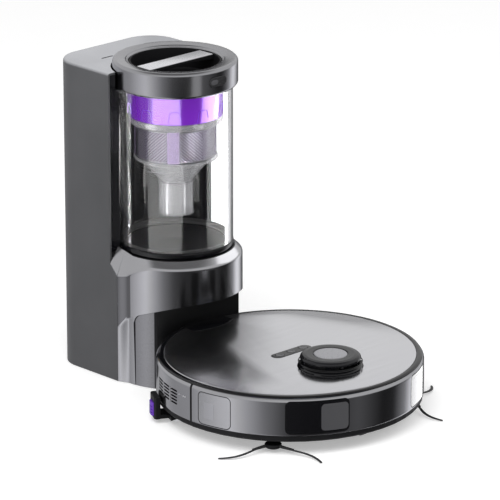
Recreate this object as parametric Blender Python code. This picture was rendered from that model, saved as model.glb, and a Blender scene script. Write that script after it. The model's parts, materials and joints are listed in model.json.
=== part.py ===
"""Self-emptying robot vacuum: a dock with a lift-out cyclone canister, and the round cleaner parked in it.

Every length below is in millimetres, and mesh and location are turned into metres when an object is made.
+Z is up and the front faces -Y. The origin is on the floor, at the middle of the whole object's outline.
"""
from math import asin, atan2, cos, degrees, pi, radians, sin, sqrt

import bmesh
import bpy
from mathutils import Matrix, Vector

MM = 0.001
GAP = 0.3

# Driving dimensions of the cleaner, measured from its own centre.
ROBOT_RADIUS = 175.0
ROBOT_TOP = 79.9
ROBOT_DISC_RADIUS = 164.7
BUMPER_LOW = 27.5
BUMPER_HIGH = 77.3
BUMPER_SKIN = 2.8
BUMPER_TRAVEL = 3.0
CLEARANCE_UNDER = 12.0
FLOOR_PLATE_TOP = 17.0
LIDAR_Y = -74.7
LIDAR_RADIUS = 39.5
LIDAR_TOP = 96.5
WHEEL_RADIUS = 35.0
WHEEL_WIDTH = 16.0
WHEEL_X = 117.0
ARM_PIVOT_Y = 42.0
ARM_PIVOT_Z = 45.0
ROLLER_Y = -3.0
ROLLER_Z = 21.5
ROLLER_RADIUS = 20.0
CASTER_Y = -135.0
CASTER_TRAIL = 4.0
CASTER_RADIUS = 11.0
BRUSH_X = 123.0
BRUSH_Y = -96.0
BRUSH_REACH = 78.0
CLIP_ANGLE = 150.0
BUTTON_PITCH = 21.0

# Driving dimensions of the dock, measured from the canister's axis.
TOWER_HALF_WIDTH = 91.9
TOWER_BACK = 145.1
TOWER_CORNER = 43.0
TOWER_TOP = 422.7
TOWER_WALL = 3.0
SKIRT = 0.8
BAY_FRONT = 29.8
BAY_RADIUS = 79.2
SEAM_Y = 16.3
SHELF_RADIUS = 88.3
SHELF_EDGE = 168.0
SHELF_TOP = 177.4
HORN_TOP = 183.7
UNDERSIDE_FRONT = 119.5
UNDERSIDE_DROP = 26.4
LEG_FRONT = -10.9
LEG_INSET = 2.3
SHELF_WALL = 5.0
ARCH_CORNER = 9.0
BAY_WALL_RADIUS = 190.0
CUP_RADIUS = 75.7
CUP_WALL = 2.4
CUP_TOP = 398.6
LID_RADIUS = 82.8
LID_TOP = 434.1
LID_HOLE_RADIUS = 61.0
HANDLE_WIDTH = 27.0

# Where the two assemblies stand: together they are centred on the origin, from front to back.
DOCKED_DISTANCE = 217.3
LENGTH = ROBOT_RADIUS + DOCKED_DISTANCE + TOWER_BACK
ROBOT_Y = ROBOT_RADIUS - LENGTH / 2
CANISTER_Y = ROBOT_Y + DOCKED_DISTANCE


def clear_scene():
    for item in list(bpy.data.objects):
        bpy.data.objects.remove(item, do_unlink=True)


def material(name, colour, roughness, metallic=0.0, alpha=1.0):
    made = bpy.data.materials.new(name)
    made.use_nodes = True
    shader = made.node_tree.nodes["Principled BSDF"]
    shader.inputs["Base Color"].default_value = (*colour, 1.0)
    shader.inputs["Roughness"].default_value = roughness
    shader.inputs["Metallic"].default_value = metallic
    shader.inputs["Alpha"].default_value = alpha
    return made


def frame_empty(name, y):
    empty = bpy.data.objects.new(name, None)
    empty.location = (0.0, y * MM, 0.0)
    bpy.context.scene.collection.objects.link(empty)
    return empty


def mesh_from(name, shape):
    """Turn a bmesh in millimetres into a closed, outward-facing mesh in metres."""
    bmesh.ops.scale(shape, vec=(MM, MM, MM), verts=shape.verts)
    bmesh.ops.recalc_face_normals(shape, faces=shape.faces)
    mesh = bpy.data.meshes.new(name)
    shape.to_mesh(mesh)
    shape.free()
    return mesh


def add_part(name, shape, look, parent, at=(0.0, 0.0, 0.0)):
    part = bpy.data.objects.new(name, mesh_from(name, shape))
    part.location = Vector(at) * MM
    part.parent = parent
    part.data.materials.append(look)
    part.data.shade_smooth()
    part.data.set_sharp_from_angle(angle=radians(35))
    bpy.context.scene.collection.objects.link(part)
    return part


def combine(part, shape, operation):
    """Cut a shape out of a part, or fuse it on. The shape is given in the part's own coordinates."""
    tool = bpy.data.objects.new(part.name + "_tool", mesh_from(part.name + "_tool", shape))
    tool.parent = part
    tool.hide_render = True
    tool.display_type = "WIRE"
    bpy.context.scene.collection.objects.link(tool)
    step = part.modifiers.new(operation.title(), "BOOLEAN")
    step.operation = operation
    step.solver = "EXACT"
    step.object = tool


def cut(part, shape):
    combine(part, shape, "DIFFERENCE")


def fuse(part, shape):
    combine(part, shape, "UNION")


def skin(rings, closed):
    """Closed body through rings of equal length. Open runs of rings get a face on each end."""
    shape = bmesh.new()
    grid = [[shape.verts.new(point) for point in ring] for ring in rings]
    last = len(grid) if closed else len(grid) - 1
    for index in range(last):
        here = grid[index]
        there = grid[(index + 1) % len(grid)]
        for side in range(len(here)):
            after = (side + 1) % len(here)
            shape.faces.new((here[side], here[after], there[after], there[side]))
    if not closed:
        shape.faces.new(grid[0])
        shape.faces.new(list(reversed(grid[-1])))
    return shape


def prism(outline, low, high):
    return skin([[(x, y, z) for x, y in outline] for z in (low, high)], closed=False)


def side_prism(outline, half_width):
    """Prism across the object, from an outline of (y, z) points."""
    return skin([[(x, y, z) for y, z in outline] for x in (-half_width, half_width)], closed=False)


def box(low, high):
    corners = ((low[0], low[1]), (high[0], low[1]), (high[0], high[1]), (low[0], high[1]))
    return prism(corners, low[2], high[2])


def wall(outer, inner, low, high, closed=False):
    """Upright wall between two runs of (x, y) points. low and high are heights, or functions of y."""
    bottom = low if callable(low) else lambda y: low
    top = high if callable(high) else lambda y: high
    rings = []
    for (ox, oy), (ix, iy) in zip(outer, inner):
        rings.append([(ox, oy, bottom(oy)), (ox, oy, top(oy)), (ix, iy, top(iy)), (ix, iy, bottom(iy))])
    return skin(rings, closed)


def arc(radius, start, end, steps, centre=(0.0, 0.0)):
    """Points on an arc, with angles in degrees from +X."""
    points = []
    for index in range(steps + 1):
        angle = radians(start + (end - start) * index / steps)
        points.append((centre[0] + radius * cos(angle), centre[1] + radius * sin(angle)))
    return points


def turned(profile, segments, centre=(0.0, 0.0), start=0.0, sweep=360.0):
    """Turn a closed (radius, z) profile about the vertical. The profile stays off the axis."""
    whole = sweep >= 360.0
    count = segments if whole else segments + 1
    rings = []
    for index in range(count):
        angle = radians(start + sweep * index / segments)
        rings.append([(centre[0] + r * cos(angle), centre[1] + r * sin(angle), z) for r, z in profile])
    return skin(rings, closed=whole)


def spindle(profile, segments):
    """Turn a (radius, z) run about the vertical, closed by flat ends, given from the bottom up."""
    rings = []
    for radius, z in profile:
        rings.append([(x, y, z) for x, y in arc(radius, 0, 360 - 360 / segments, segments - 1)])
    return skin(rings, closed=False)


def along_x(shape):
    bmesh.ops.rotate(shape, verts=shape.verts, cent=(0, 0, 0), matrix=Matrix.Rotation(pi / 2, 3, "Y"))
    return shape


def moved(shape, by):
    bmesh.ops.translate(shape, verts=shape.verts, vec=by)
    return shape


def turned_about_z(shape, angle):
    bmesh.ops.rotate(shape, verts=shape.verts, cent=(0, 0, 0), matrix=Matrix.Rotation(radians(angle), 3, "Z"))
    return shape


def together(shapes):
    """One bmesh holding several shapes that don't touch, for cutting them all at once."""
    whole = bmesh.new()
    for shape in shapes:
        copies = {vertex: whole.verts.new(vertex.co) for vertex in shape.verts}
        for face in shape.faces:
            whole.faces.new([copies[vertex] for vertex in face.verts])
        shape.free()
    return whole


def rounded_rectangle(width, height, radius, steps=4):
    points = []
    for quarter, (sx, sy) in enumerate(((1, 1), (-1, 1), (-1, -1), (1, -1))):
        centre = (sx * (width / 2 - radius), sy * (height / 2 - radius))
        points += arc(radius, 90 * quarter, 90 * quarter + 90, steps, centre)
    return points


def pipe(route, outer, inner, sides):
    """Hollow pipe along a route, open at both ends."""
    route = [Vector(point) for point in route]
    rings = []
    for index, point in enumerate(route):
        before = route[max(index - 1, 0)]
        after = route[min(index + 1, len(route) - 1)]
        ahead = (after - before).normalized()
        across = Vector((1, 0, 0))
        over = ahead.cross(across).normalized()
        ring = []
        for radius in (outer, inner):
            ring.append([point + radius * (cos(a) * across + sin(a) * over)
                         for a in (2 * pi * side / sides for side in range(sides))])
        rings.append(ring)
    shape = bmesh.new()
    grid = [[[shape.verts.new(p) for p in circle] for circle in ring] for ring in rings]
    for side in range(sides):
        after = (side + 1) % sides
        for layer in (0, 1):
            for here, there in zip(grid, grid[1:]):
                shape.faces.new((here[layer][side], here[layer][after],
                                 there[layer][after], there[layer][side]))
        for end in (grid[0], grid[-1]):
            shape.faces.new((end[0][side], end[0][after], end[1][after], end[1][side]))
    return shape


def curved_panel(middle, span, low, high, inner, outer, corner, grow=0.0, corner_steps=3):
    """Rounded rectangle wrapped on the cleaner's side wall. Angles are degrees from +X."""
    half = radians(span / 2) * ROBOT_RADIUS + grow
    low = low - grow
    high = high + grow
    stations = []
    for step in range(corner_steps + 1):
        turn = pi / 2 * step / corner_steps
        stations.append((half - corner * (1 - cos(turn)), corner * (1 - sin(turn))))
    stations = [(s, inset) for s, inset in reversed(stations)]
    flat = stations[0][0]
    steps = max(2, int(2 * flat / 12))
    run = [(-s, inset) for s, inset in reversed(stations)]
    run += [(-flat + 2 * flat * step / steps, 0.0) for step in range(1, steps)]
    run += stations
    rings = []
    for s, inset in run:
        angle = radians(middle) + s / ROBOT_RADIUS
        direction = (cos(angle), sin(angle))
        ring = []
        for radius, z in ((inner, low + inset), (outer, low + inset),
                          (outer, high - inset), (inner, high - inset)):
            ring.append((radius * direction[0], radius * direction[1], z))
        rings.append(ring)
    return skin(rings, closed=False)


# ---------------------------------------------------------------- the dock's shared outlines


def underside(y):
    """Height of the shelf's sloping underside, which rises towards the front."""
    along = max(0.0, (y + SHELF_RADIUS) / SHELF_RADIUS)
    return UNDERSIDE_FRONT - UNDERSIDE_DROP * along ** 1.35


def arch_height(y):
    """Height of the shelf's lower edge, rounded down where it meets the leg."""
    into = min(ARCH_CORNER, max(0.0, LEG_FRONT - y))
    return underside(y) - ARCH_CORNER + sqrt(ARCH_CORNER ** 2 - (ARCH_CORNER - into) ** 2)


def front_outline(inset, rear, steps):
    """D shape of the dock's front, from the left rear, round the front, to the right rear."""
    side = TOWER_HALF_WIDTH - GAP - inset
    radius = SHELF_RADIUS - inset
    return [(-side, rear), (-side, SEAM_Y)] + arc(radius, 180, 360, steps) + [(side, SEAM_Y), (side, rear)]


def tower_outline(inset, front):
    """U shape of the tower, from the right front, round the back, to the left front."""
    side = TOWER_HALF_WIDTH - inset
    centre_x = TOWER_HALF_WIDTH - TOWER_CORNER
    centre_y = TOWER_BACK - TOWER_CORNER
    radius = TOWER_CORNER - inset
    right = arc(radius, 0, 90, 8, (centre_x, centre_y))
    left = arc(radius, 90, 180, 8, (-centre_x, centre_y))
    return [(side, front)] + right + left + [(-side, front)]


def bay_outline(leg_radius, wall_radius, rear, leg_steps, wall_steps):
    """Run from the left leg's rear, forward round the leg, across the concave wall, to the right leg."""
    meet_y = (wall_radius ** 2 - leg_radius ** 2 - DOCKED_DISTANCE ** 2) / (2 * DOCKED_DISTANCE)
    meet_x = sqrt(leg_radius ** 2 - meet_y ** 2)
    rear_angle = 180 + degrees(asin(-rear / leg_radius))
    tip_angle = 180 + degrees(atan2(-meet_y, meet_x))
    left = arc(leg_radius, rear_angle, tip_angle, leg_steps)
    spread = degrees(asin(meet_x / wall_radius))
    middle = arc(wall_radius, 90 + spread, 90 - spread, wall_steps, (0.0, -DOCKED_DISTANCE))
    right = [(-x, y) for x, y in reversed(left)]
    return left + middle[1:-1] + right


# ---------------------------------------------------------------- dock


def make_tower(parent):
    shell = prism(tower_outline(0, SEAM_Y + GAP), SKIRT, TOWER_TOP)
    rim = [e for e in shell.edges if all(abs(v.co.z - TOWER_TOP) < 0.01 for v in e.verts)]
    bmesh.ops.bevel(shell, geom=rim, offset=3.5, segments=2, profile=0.5, affect="EDGES")
    part = add_part("tower_shell", shell, charcoal, parent)
    inside = tower_outline(TOWER_WALL, -20)
    cut(part, prism(inside, -5, TOWER_TOP - TOWER_WALL))
    # Above the shelf the sides start further back, with a slanted step under the shelf's horns.
    step = ((-30, 147.5), (SEAM_Y + GAP, 147.5), (BAY_FRONT, 161.9), (BAY_FRONT, 450), (-30, 450))
    cut(part, side_prism(step, 120))
    cut(part, spindle([(LID_RADIUS + 2.0, 380), (LID_RADIUS + 2.0, 440)], 56))
    grille_hole = box((-41, TOWER_BACK - 8, 40), (41, TOWER_BACK + 8, 104))
    inlet_hole = box((12, TOWER_BACK - 8, 12), (38, TOWER_BACK + 8, 30))
    cut(part, together([grille_hole, inlet_hole]))


def make_canister_bay(parent):
    """Concave black wall behind the canister, with a flat strip down each side."""
    side = TOWER_HALF_WIDTH - TOWER_WALL - GAP
    for name, radius, thickness, low, high in (
        ("canister_bay", BAY_RADIUS, 7.0, 178.0, 396.3),
        ("lid_collar", LID_RADIUS + 1.8, 3.0, 396.6, TOWER_TOP - TOWER_WALL - GAP),
    ):
        runs = []
        for r, y in ((radius, BAY_FRONT + GAP), (radius + thickness, BAY_FRONT + GAP + 3.0)):
            start = degrees(asin(y / r))
            runs.append([(side, y)] + arc(r, start, 180 - start, 28) + [(-side, y)])
        part = add_part(name, wall(runs[0], runs[1], low, high), gloss_black, parent)
        if name == "canister_bay":
            cut(part, box((34, 60, 318), (56, 100, 352)))


def make_front_housing(parent):
    """Grey front skin: the shelf with its bevelled top, its two horns and a leg down each side."""
    rings = []
    outside = front_outline(0, BAY_FRONT - GAP, 44)
    inside = front_outline(SHELF_WALL, BAY_FRONT - GAP, 44)
    for (x, y), (ix, iy) in zip(outside, inside):
        rear = min(1.0, max(0.0, y / SEAM_Y))
        fade = 1.0 - rear
        lip_radius = SHELF_TOP - 99.4
        scale = lip_radius / sqrt(x * x + y * y)
        lip = (x * scale, y * scale)
        lip_z = SHELF_TOP
        if y > 0:
            lip = (lip_radius * x / abs(x) - 1.1 * x / abs(x) * y / BAY_FRONT, y)
            lip_z = SHELF_TOP + (HORN_TOP - SHELF_TOP) * y / BAY_FRONT
        sweep = min(1.0, max(0.0, (y + 40) / 40))
        edge = SHELF_EDGE - 17.5 * sweep ** 1.5 - 3.0 * rear
        if y > SEAM_Y + 1:
            edge = 161.7
        leg = 1 - LEG_INSET * fade / SHELF_RADIUS
        notch = underside(min(y, 0.0)) - 0.5 - 20.0 * rear
        rings.append([
            (x * leg, y * leg if y < 0 else y, SKIRT),
            (x * leg, y * leg if y < 0 else y, notch - 2.2),
            (x, y, notch),
            (x, y, edge),
            (lip[0], lip[1], lip_z),
            (lip[0], lip[1], lip_z - 3.0),
            (ix, iy, edge - 3.2),
            (ix, iy, SKIRT),
        ])
    part = add_part("front_housing", skin(rings, closed=False), gunmetal, parent)
    corner_steps = [LEG_FRONT - ARCH_CORNER * (1 - cos(radians(18 * step))) for step in range(6)]
    shelf_steps = [-SHELF_RADIUS + (SHELF_RADIUS + LEG_FRONT - ARCH_CORNER) * step / 8 for step in range(8)]
    arch = [(-110, -10), (LEG_FRONT, -10)]
    arch += [(y, arch_height(y)) for y in corner_steps + list(reversed(shelf_steps))]
    arch.append((-110, UNDERSIDE_FRONT))
    cut(part, side_prism(arch, 120))
    under_horn = ((SEAM_Y + 0.01, -10), (60, -10), (60, 162.2), (BAY_FRONT, 162.2), (SEAM_Y + 0.01, 147.8))
    cut(part, side_prism(under_horn, 120))


def make_shelf_underside(parent):
    """Black plate that closes the shelf from below."""
    radius = SHELF_RADIUS - SHELF_WALL - 0.6
    rings = []
    steps = 14
    for step in range(steps + 1):
        angle = radians(-90 + 4 + (90 - 4 - 8.5) * step / steps)
        x = radius * cos(angle)
        y = radius * sin(angle)
        low = underside(y) + 0.9
        rings.append([(-x, y, low), (x, y, low), (x, y, low + 3), (-x, y, low + 3)])
    add_part("shelf_underside", skin(rings, closed=False), matt_black, parent)


def make_dock_bay(parent):
    """Recess that the cleaner parks in: rounded legs and a concave back wall with the suction port."""
    outer = bay_outline(SHELF_RADIUS - LEG_INSET - 0.6, BAY_WALL_RADIUS, LEG_FRONT - GAP, 6, 14)
    inner = bay_outline(SHELF_RADIUS - LEG_INSET - 3.4, BAY_WALL_RADIUS + 2.6, LEG_FRONT - GAP, 6, 14)
    part = add_part("dock_bay", wall(outer, inner, SKIRT, lambda y: arch_height(y) - 0.5), dark_grey, parent)
    cut(part, box((-24, -60, 50), (24, 0, 66)))
    back = -DOCKED_DISTANCE + BAY_WALL_RADIUS
    ring = rounded_rectangle(60, 26, 12)
    hole = rounded_rectangle(50, 16, 7)
    faces = []
    for (ox, oz), (ix, iz) in zip(ring, hole):
        front = back - BAY_WALL_RADIUS + ROBOT_RADIUS + 0.6
        rear = back - 2.9
        faces.append([(ox, front, oz), (ox, rear, oz), (ix, rear, iz), (ix, front, iz)])
    add_part("suction_seal", moved(skin(faces, closed=True), (0, 0, 58)), rubber, parent)
    for side, name in ((-1, "charging_contact_left"), (1, "charging_contact_right")):
        middle = 90 - side * 16
        block = curved_panel(middle, 5.2, 33, 41, ROBOT_RADIUS + 0.5, BAY_WALL_RADIUS - 0.3, 1.5)
        add_part(name, moved(block, (0, -DOCKED_DISTANCE, 0)), brass, parent)


def make_canister_seat(parent):
    """Deck inside the shelf that the canister stands on."""
    side = TOWER_HALF_WIDTH - TOWER_WALL - 0.6
    start = degrees(asin((BAY_FRONT + 0.6) / 76.6))
    outline = arc(76.6, 180 - start, 360 + start, 40)
    outline += [(side, BAY_FRONT + 0.6), (side, 96), (-side, 96), (-side, BAY_FRONT + 0.6)]
    add_part("canister_seat", prism(outline, 170, SHELF_TOP - 0.4), matt_black, parent)


def make_base(parent):
    front = bay_outline(SHELF_RADIUS - LEG_INSET - 4.6, BAY_WALL_RADIUS + 3.4, LEG_FRONT - GAP, 6, 14)
    rear = tower_outline(TOWER_WALL + 0.4, BAY_FRONT)
    add_part("base_plate", prism(front + rear, 3.2, 6.2), matt_black, parent)
    for name, half, y in (("foot_front", 72, -16), ("foot_rear", 64, 112)):
        strip = prism(rounded_rectangle(2 * half, 14, 6.5, 3), 0, 2.9)
        add_part(name, strip, rubber, parent, (0, y, 0))


def make_dock_inside(parent):
    """Suction duct, dust fan, exhaust grille and power inlet."""
    x = 45
    low = 58
    high = 335
    back = 112
    bend = 26
    route = [(0, -20, low)]
    route += [(x * t / 4, -20 + 60 * t / 4, low) for t in range(1, 5)]
    route += [(x, back - bend + dy, low + bend + dz) for dy, dz in arc(bend, -90, 0, 4)]
    route += [(x, back - bend + dy, high - bend + dz) for dy, dz in arc(bend, 0, 90, 4)]
    add_part("suction_duct", pipe(route[:1] + route[4:], 13, 11, 10), matt_black, parent)
    profile = [(30, 0), (44, 0.5), (44, 34), (34, 38), (34, 70), (26, 78), (14, 78.5)]
    add_part("dust_fan", spindle(profile, 32), matt_black, parent, (-36, 84, 12))
    grille = add_part("exhaust_grille", box((-40.6, -4, -31.6), (40.6, 0, 31.6)), matt_black, parent,
                      (0, TOWER_BACK - 0.2, 72))
    slots = [box((-34, -10, 8 * row - 2), (34, 10, 8 * row + 2)) for row in range(-3, 4)]
    cut(grille, together(slots))
    inlet = add_part("power_inlet", box((-12.6, -16, -8.6), (12.6, 0, 8.6)), matt_black, parent,
                     (25, TOWER_BACK - 0.2, 21))
    cut(inlet, box((-9.5, -12, -5), (9.5, 8, 5)))


# ---------------------------------------------------------------- canister


def make_canister(parent):
    radius = CUP_RADIUS
    cup = [(radius, 186.3), (radius, CUP_TOP), (radius - CUP_WALL, CUP_TOP), (radius - CUP_WALL, 186.3)]
    add_part("canister_cup", turned(cup, 48), clear, parent)
    ring = [(66, 178.2), (75, 178.2), (76.2, 180), (76.2, 185), (75, 186), (72, 186), (70, 183), (66, 183)]
    add_part("canister_base", turned(ring, 40), gloss_black, parent)
    add_part("canister_flap", spindle([(64.6, 178.2), (65.6, 179.2), (65.6, 182.6)], 48), matt_black, parent)


def make_cyclone(parent):
    """Lid, carry handle and filter stack, which lift out of the cup as one piece."""
    hole = LID_HOLE_RADIUS
    lid = [
        (LID_RADIUS - 2.6, 398.9), (LID_RADIUS, 402), (LID_RADIUS, LID_TOP - 3.2), (LID_RADIUS - 3, LID_TOP),
        (LID_RADIUS - 5, LID_TOP), (hole + 2, LID_TOP - 2.6), (hole, LID_TOP - 4), (hole, 400),
    ]
    part = add_part("lid_ring", turned(lid, 48), lid_grey, parent)
    cut(part, box((-15.4, -90, 410.7), (15.4, -76.2, 424.7)))
    recess = [(hole - 0.4, 399.5), (hole - 0.4, 430), (hole - 2.4, 430), (hole - 2.4, 402)]
    add_part("lid_recess", spindle(recess, 40), matt_black, parent)
    half = HANDLE_WIDTH / 2
    reach = sqrt((hole - 2.8) ** 2 - half ** 2)
    bar = ((-reach, 421), (-reach + 6, 421), (-reach + 16, 424),
           (reach - 16, 424), (reach - 6, 421), (reach, 421))
    bar += ((reach, 429.6), (-reach, 429.6))
    shape = skin([[(x, y, z) for x, z in bar] for y in (-half, half)], closed=False)
    add_part("handle_bar", shape, handle_grey, parent)
    button = [(x, z) for x, z in rounded_rectangle(29.8, 13, 5.5)]
    shape = skin([[(x, y, z) for x, z in button] for y in (-4.5, 0)], closed=False)
    add_part("release_button", shape, gloss_black, parent, (0, -LID_RADIUS + 4.2, 417.7))
    ring = [(60.5, 357), (63.5, 357), (63.5, 398.4), (60.5, 398.4)]
    add_part("filter_ring", turned(ring, 48), violet, parent)
    flange = [(50, 346.8), (58, 346.8), (62.5, 350), (62.5, 356.6), (50, 356.6)]
    add_part("core_flange", turned(flange, 40), clear, parent)
    mesh = [(51.6, 302), (53.6, 302), (53.6, 346.4), (51.6, 346.4)]
    add_part("mesh_screen", turned(mesh, 40), screen_metal, parent)
    funnel = [
        (48, 296), (54.5, 298), (54.5, 301.6), (47, 301.6), (20, 269), (20, 222), (22.6, 222), (22.6, 268.4),
    ]
    add_part("core_funnel", turned(funnel, 32), clear, parent)


# ---------------------------------------------------------------- cleaner body


def make_chassis(parent):
    profile = [
        (149, CLEARANCE_UNDER), (171, 19), (173.5, 21.5), (173.5, BUMPER_LOW - 0.5), (168, BUMPER_LOW - 0.5),
        (166.5, FLOOR_PLATE_TOP + 4), (166.5, FLOOR_PLATE_TOP),
    ]
    rings = [[(x, y, z) for x, y in arc(r, 0, 352.5, 47)] for r, z in profile]
    part = add_part("robot_chassis", skin(rings, closed=False), matt_black, parent)
    for side in (-1, 1):
        ends = sorted((side * 88, side * 128))
        cut(part, box((ends[0], -42, 0), (ends[1], 56, 30)))
    cut(part, box((-87, ROLLER_Y - 24, 0), (87, ROLLER_Y + 24, 30)))
    cut(part, moved(spindle([(19.5, 0), (19.5, 30)], 32), (0, CASTER_Y, 0)))


def make_shell(parent):
    inner = ROBOT_RADIUS - BUMPER_SKIN
    side = [
        (inner, BUMPER_LOW), (ROBOT_RADIUS - 1, BUMPER_LOW), (ROBOT_RADIUS, BUMPER_LOW + 1.2),
        (ROBOT_RADIUS, BUMPER_HIGH - 1.5), (ROBOT_RADIUS - 1.4, BUMPER_HIGH), (inner, BUMPER_HIGH),
    ]
    seam = degrees((BUMPER_TRAVEL + 0.6) / ROBOT_RADIUS)
    shell = add_part("rear_shell", turned(side, 36, start=seam, sweep=180 - 2 * seam), gunmetal, parent)
    openings = [curved_panel(90, 15, 52, 64, inner - 3, ROBOT_RADIUS + 3, 4)]
    for middle in (20, 160):
        for row in range(5):
            low = 42 + 4.2 * row
            openings.append(curved_panel(middle, 20, low, low + 2, inner - 3, ROBOT_RADIUS + 3, 0.9,
                                         corner_steps=1))
    cut(shell, together(openings))
    return side


def make_bumper(parent, side):
    """Front half of the side wall, with four sensor windows let into it."""
    bumper = add_part("bumper", turned(side, 36, start=180, sweep=180), gunmetal, parent)
    windows = (
        ("side_window_left", -90 - 78, 16, 30, 72, smoke),
        ("side_window_right", -90 + 78, 16, 30, 72, smoke),
        ("sensor_window_left", -90 - 32.4, 27, 31, 73.5, gloss_black),
        ("sensor_window_right", -90 + 32.4, 27, 31, 73.5, gloss_black),
    )
    inner = ROBOT_RADIUS - BUMPER_SKIN
    for name, middle, span, low, high, look in windows:
        cut(bumper, curved_panel(middle, span, low, high, inner - 3, ROBOT_RADIUS + 3, 6.4, grow=0.4))
        pane = curved_panel(middle, span, low, high, inner + 0.2, ROBOT_RADIUS - 0.2, 6)
        add_part(name, pane, look, parent)


def dust_lip(grow):
    """Outline of the dust box's lip at the back of the top face."""
    front = arc(75, -118, -62, 8, (0, 211.5 - grow))
    half = front[-1][0] + grow
    return [(-half, 180), (-half, front[0][1])] + front[1:-1] + [(half, front[-1][1]), (half, 180)]


def make_top(parent):
    """Brushed disc, its dark bevelled rim, the button panel and the dust box."""
    low = BUMPER_HIGH + 0.4
    rings = [[(x, y, z) for x, y in arc(ROBOT_DISC_RADIUS, 0, 352.5, 47)] for z in (low, ROBOT_TOP)]
    disc = add_part("top_disc", skin(rings, closed=False), brushed_silver, parent)
    inside = ROBOT_DISC_RADIUS + 0.4
    rim_profile = [(inside, low), (172, low), (172, 78.2), (170.5, 79), (inside, 79.8)]
    rim = add_part("top_rim", turned(rim_profile, 48), gloss_black, parent)
    cut(disc, moved(spindle([(43, 70), (43, 90)], 48), (0, LIDAR_Y, 0)))
    cut(disc, moved(prism(rounded_rectangle(66.8, 17.8, 8.8), 70, 90), (1, -1.5, 0)))
    cut(disc, prism([(x, y) for x, y in dust_lip(0.4)], 70, 90))
    cut(rim, prism([(x, y) for x, y in dust_lip(0.4)], 70, 90))
    panel = prism(rounded_rectangle(66, 17, 8.4), 78, ROBOT_TOP + 0.2)
    pill = add_part("button_panel", panel, gloss_black, parent, (1, -1.5, 0))
    for index, name in enumerate(("home_button", "power_button", "spot_button")):
        x = BUTTON_PITCH * (index - 1)
        cut(pill, moved(spindle([(6.3, 70), (6.3, 90)], 20), (x, 0, 0)))
        add_part(name, spindle([(5.9, 78.4), (5.9, 80.4), (5.4, 80.8)], 20), smoke, parent, (1 + x, -1.5, 0))


def make_dust_box(parent):
    """Dust box at the back, with an inlet in its front wall and its lip showing in the top face."""
    half = 62
    rear = 165.8
    spread = degrees(asin(half / rear))
    back = arc(rear, 90 - spread, 90 + spread, 16)
    outline = [(half, 42), (half, 120)] + back + [(-half, 120), (-half, 42)]
    part = add_part("dust_box", prism(outline, FLOOR_PLATE_TOP + 0.5, BUMPER_HIGH), matt_black, parent)
    cut(part, box((-half + 2, 44, 20), (half - 2, 150, 74)))
    cut(part, box((-40, 30, 26), (40, 50, 44)))
    lip = [(x, min(y, sqrt(171.2 ** 2 - x * x))) for x, y in dust_lip(0)]
    lip = lip[1:-1]
    limit = degrees(asin(lip[-1][0] / 171.2))
    lip += arc(171.2, 90 - limit, 90 + limit, 8)
    fuse(part, prism(lip, 76, ROBOT_TOP - 0.2))


def make_lidar(parent):
    """Fixed cover with four posts round an open band, and the turret that spins inside it."""
    radius = LIDAR_RADIUS
    profile = [
        (42.4, 78.2), (42.4, 82), (radius, 84), (radius, LIDAR_TOP - 2.5), (radius - 2, LIDAR_TOP - 0.4),
        (radius - 6, LIDAR_TOP), (21.6, LIDAR_TOP), (21.6, LIDAR_TOP - 0.8),
        (1.5, LIDAR_TOP - 0.8), (1.5, 92.8),
        (35.4, 92.8), (35.4, 78.2),
    ]
    cover = add_part("lidar_cover", turned(profile, 32), gloss_black, parent, (0, LIDAR_Y, 0))
    for size in ((60, 44), (44, 60)):
        cut(cover, box((-size[0], -size[1] / 2, 84.6), (size[0], size[1] / 2, 89.8)))
    turret = [(30, 72), (30, 80), (33, 80.5), (33, 91), (31, 92), (10, 92.2)]
    part = add_part("lidar_turret", spindle(turret, 32), matt_black, parent, (0, LIDAR_Y, 0))
    cut(part, box((-14, -40, 83), (14, -26, 89)))


# ---------------------------------------------------------------- cleaner running gear


def make_wheels(parent):
    for side, hand in ((-1, "left"), (1, "right")):
        half = WHEEL_WIDTH / 2
        profile = [
            (26, -half + 2), (28, -half), (33.5, -half), (WHEEL_RADIUS, -half + 1.5),
            (WHEEL_RADIUS, half - 1.5), (33.5, half), (28, half), (26, half - 2),
        ]
        wheel = along_x(spindle(profile, 32))
        add_part("drive_wheel_" + hand, wheel, rubber, parent, (side * WHEEL_X, 0, WHEEL_RADIUS))
        arm = ((-30, -8), (-22, -22), (8, -24), (16, -8), (12, 10), (-10, 20), (-50, 16), (-62, -6))
        shape = skin([[(x, y, z) for y, z in arm] for x in (-7.5, 7.5)], closed=False)
        add_part("drive_arm_" + hand, shape, matt_black, parent, (side * 98.5, ARM_PIVOT_Y, ARM_PIVOT_Z))


def make_caster(parent):
    fork = spindle([(13, 8), (17.5, 12), (17.5, 28), (12, 30)], 28)
    part = add_part("caster_fork", fork, matt_black, parent, (0, CASTER_Y, 0))
    cut(part, box((-6.4, -30, 0), (6.4, 30, 24)))
    wheel = along_x(spindle([(9.6, -5.6), (CASTER_RADIUS, -4), (CASTER_RADIUS, 4), (9.6, 5.6)], 24))
    add_part("caster_wheel", wheel, rubber, parent, (0, CASTER_Y + CASTER_TRAIL, CASTER_RADIUS))


def make_roller(parent):
    """Main brush: a core with eight raised bristle rows, and the guard frame under it."""
    rows = 8
    points = []
    for index in range(rows):
        start = 360 / rows * index
        points += arc(ROLLER_RADIUS, start - 5, start + 5, 1)
        points += arc(14, start + 12, start + 33, 2)
    outline = [(z, y) for y, z in points]
    rings = [[(x, y, z) for y, z in outline] for x in (-80, 80)]
    add_part("main_brush", skin(rings, closed=False), brush_violet, parent, (0, ROLLER_Y, ROLLER_Z))
    outer = ((-90, -28), (90, -28), (90, 28), (-90, 28))
    inner = ((-83, -22.5), (83, -22.5), (83, 22.5), (-83, 22.5))
    guard = wall(outer, inner, 7.6, CLEARANCE_UNDER - GAP, closed=True)
    add_part("brush_guard", guard, dark_grey, parent, (0, ROLLER_Y, 0))


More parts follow.
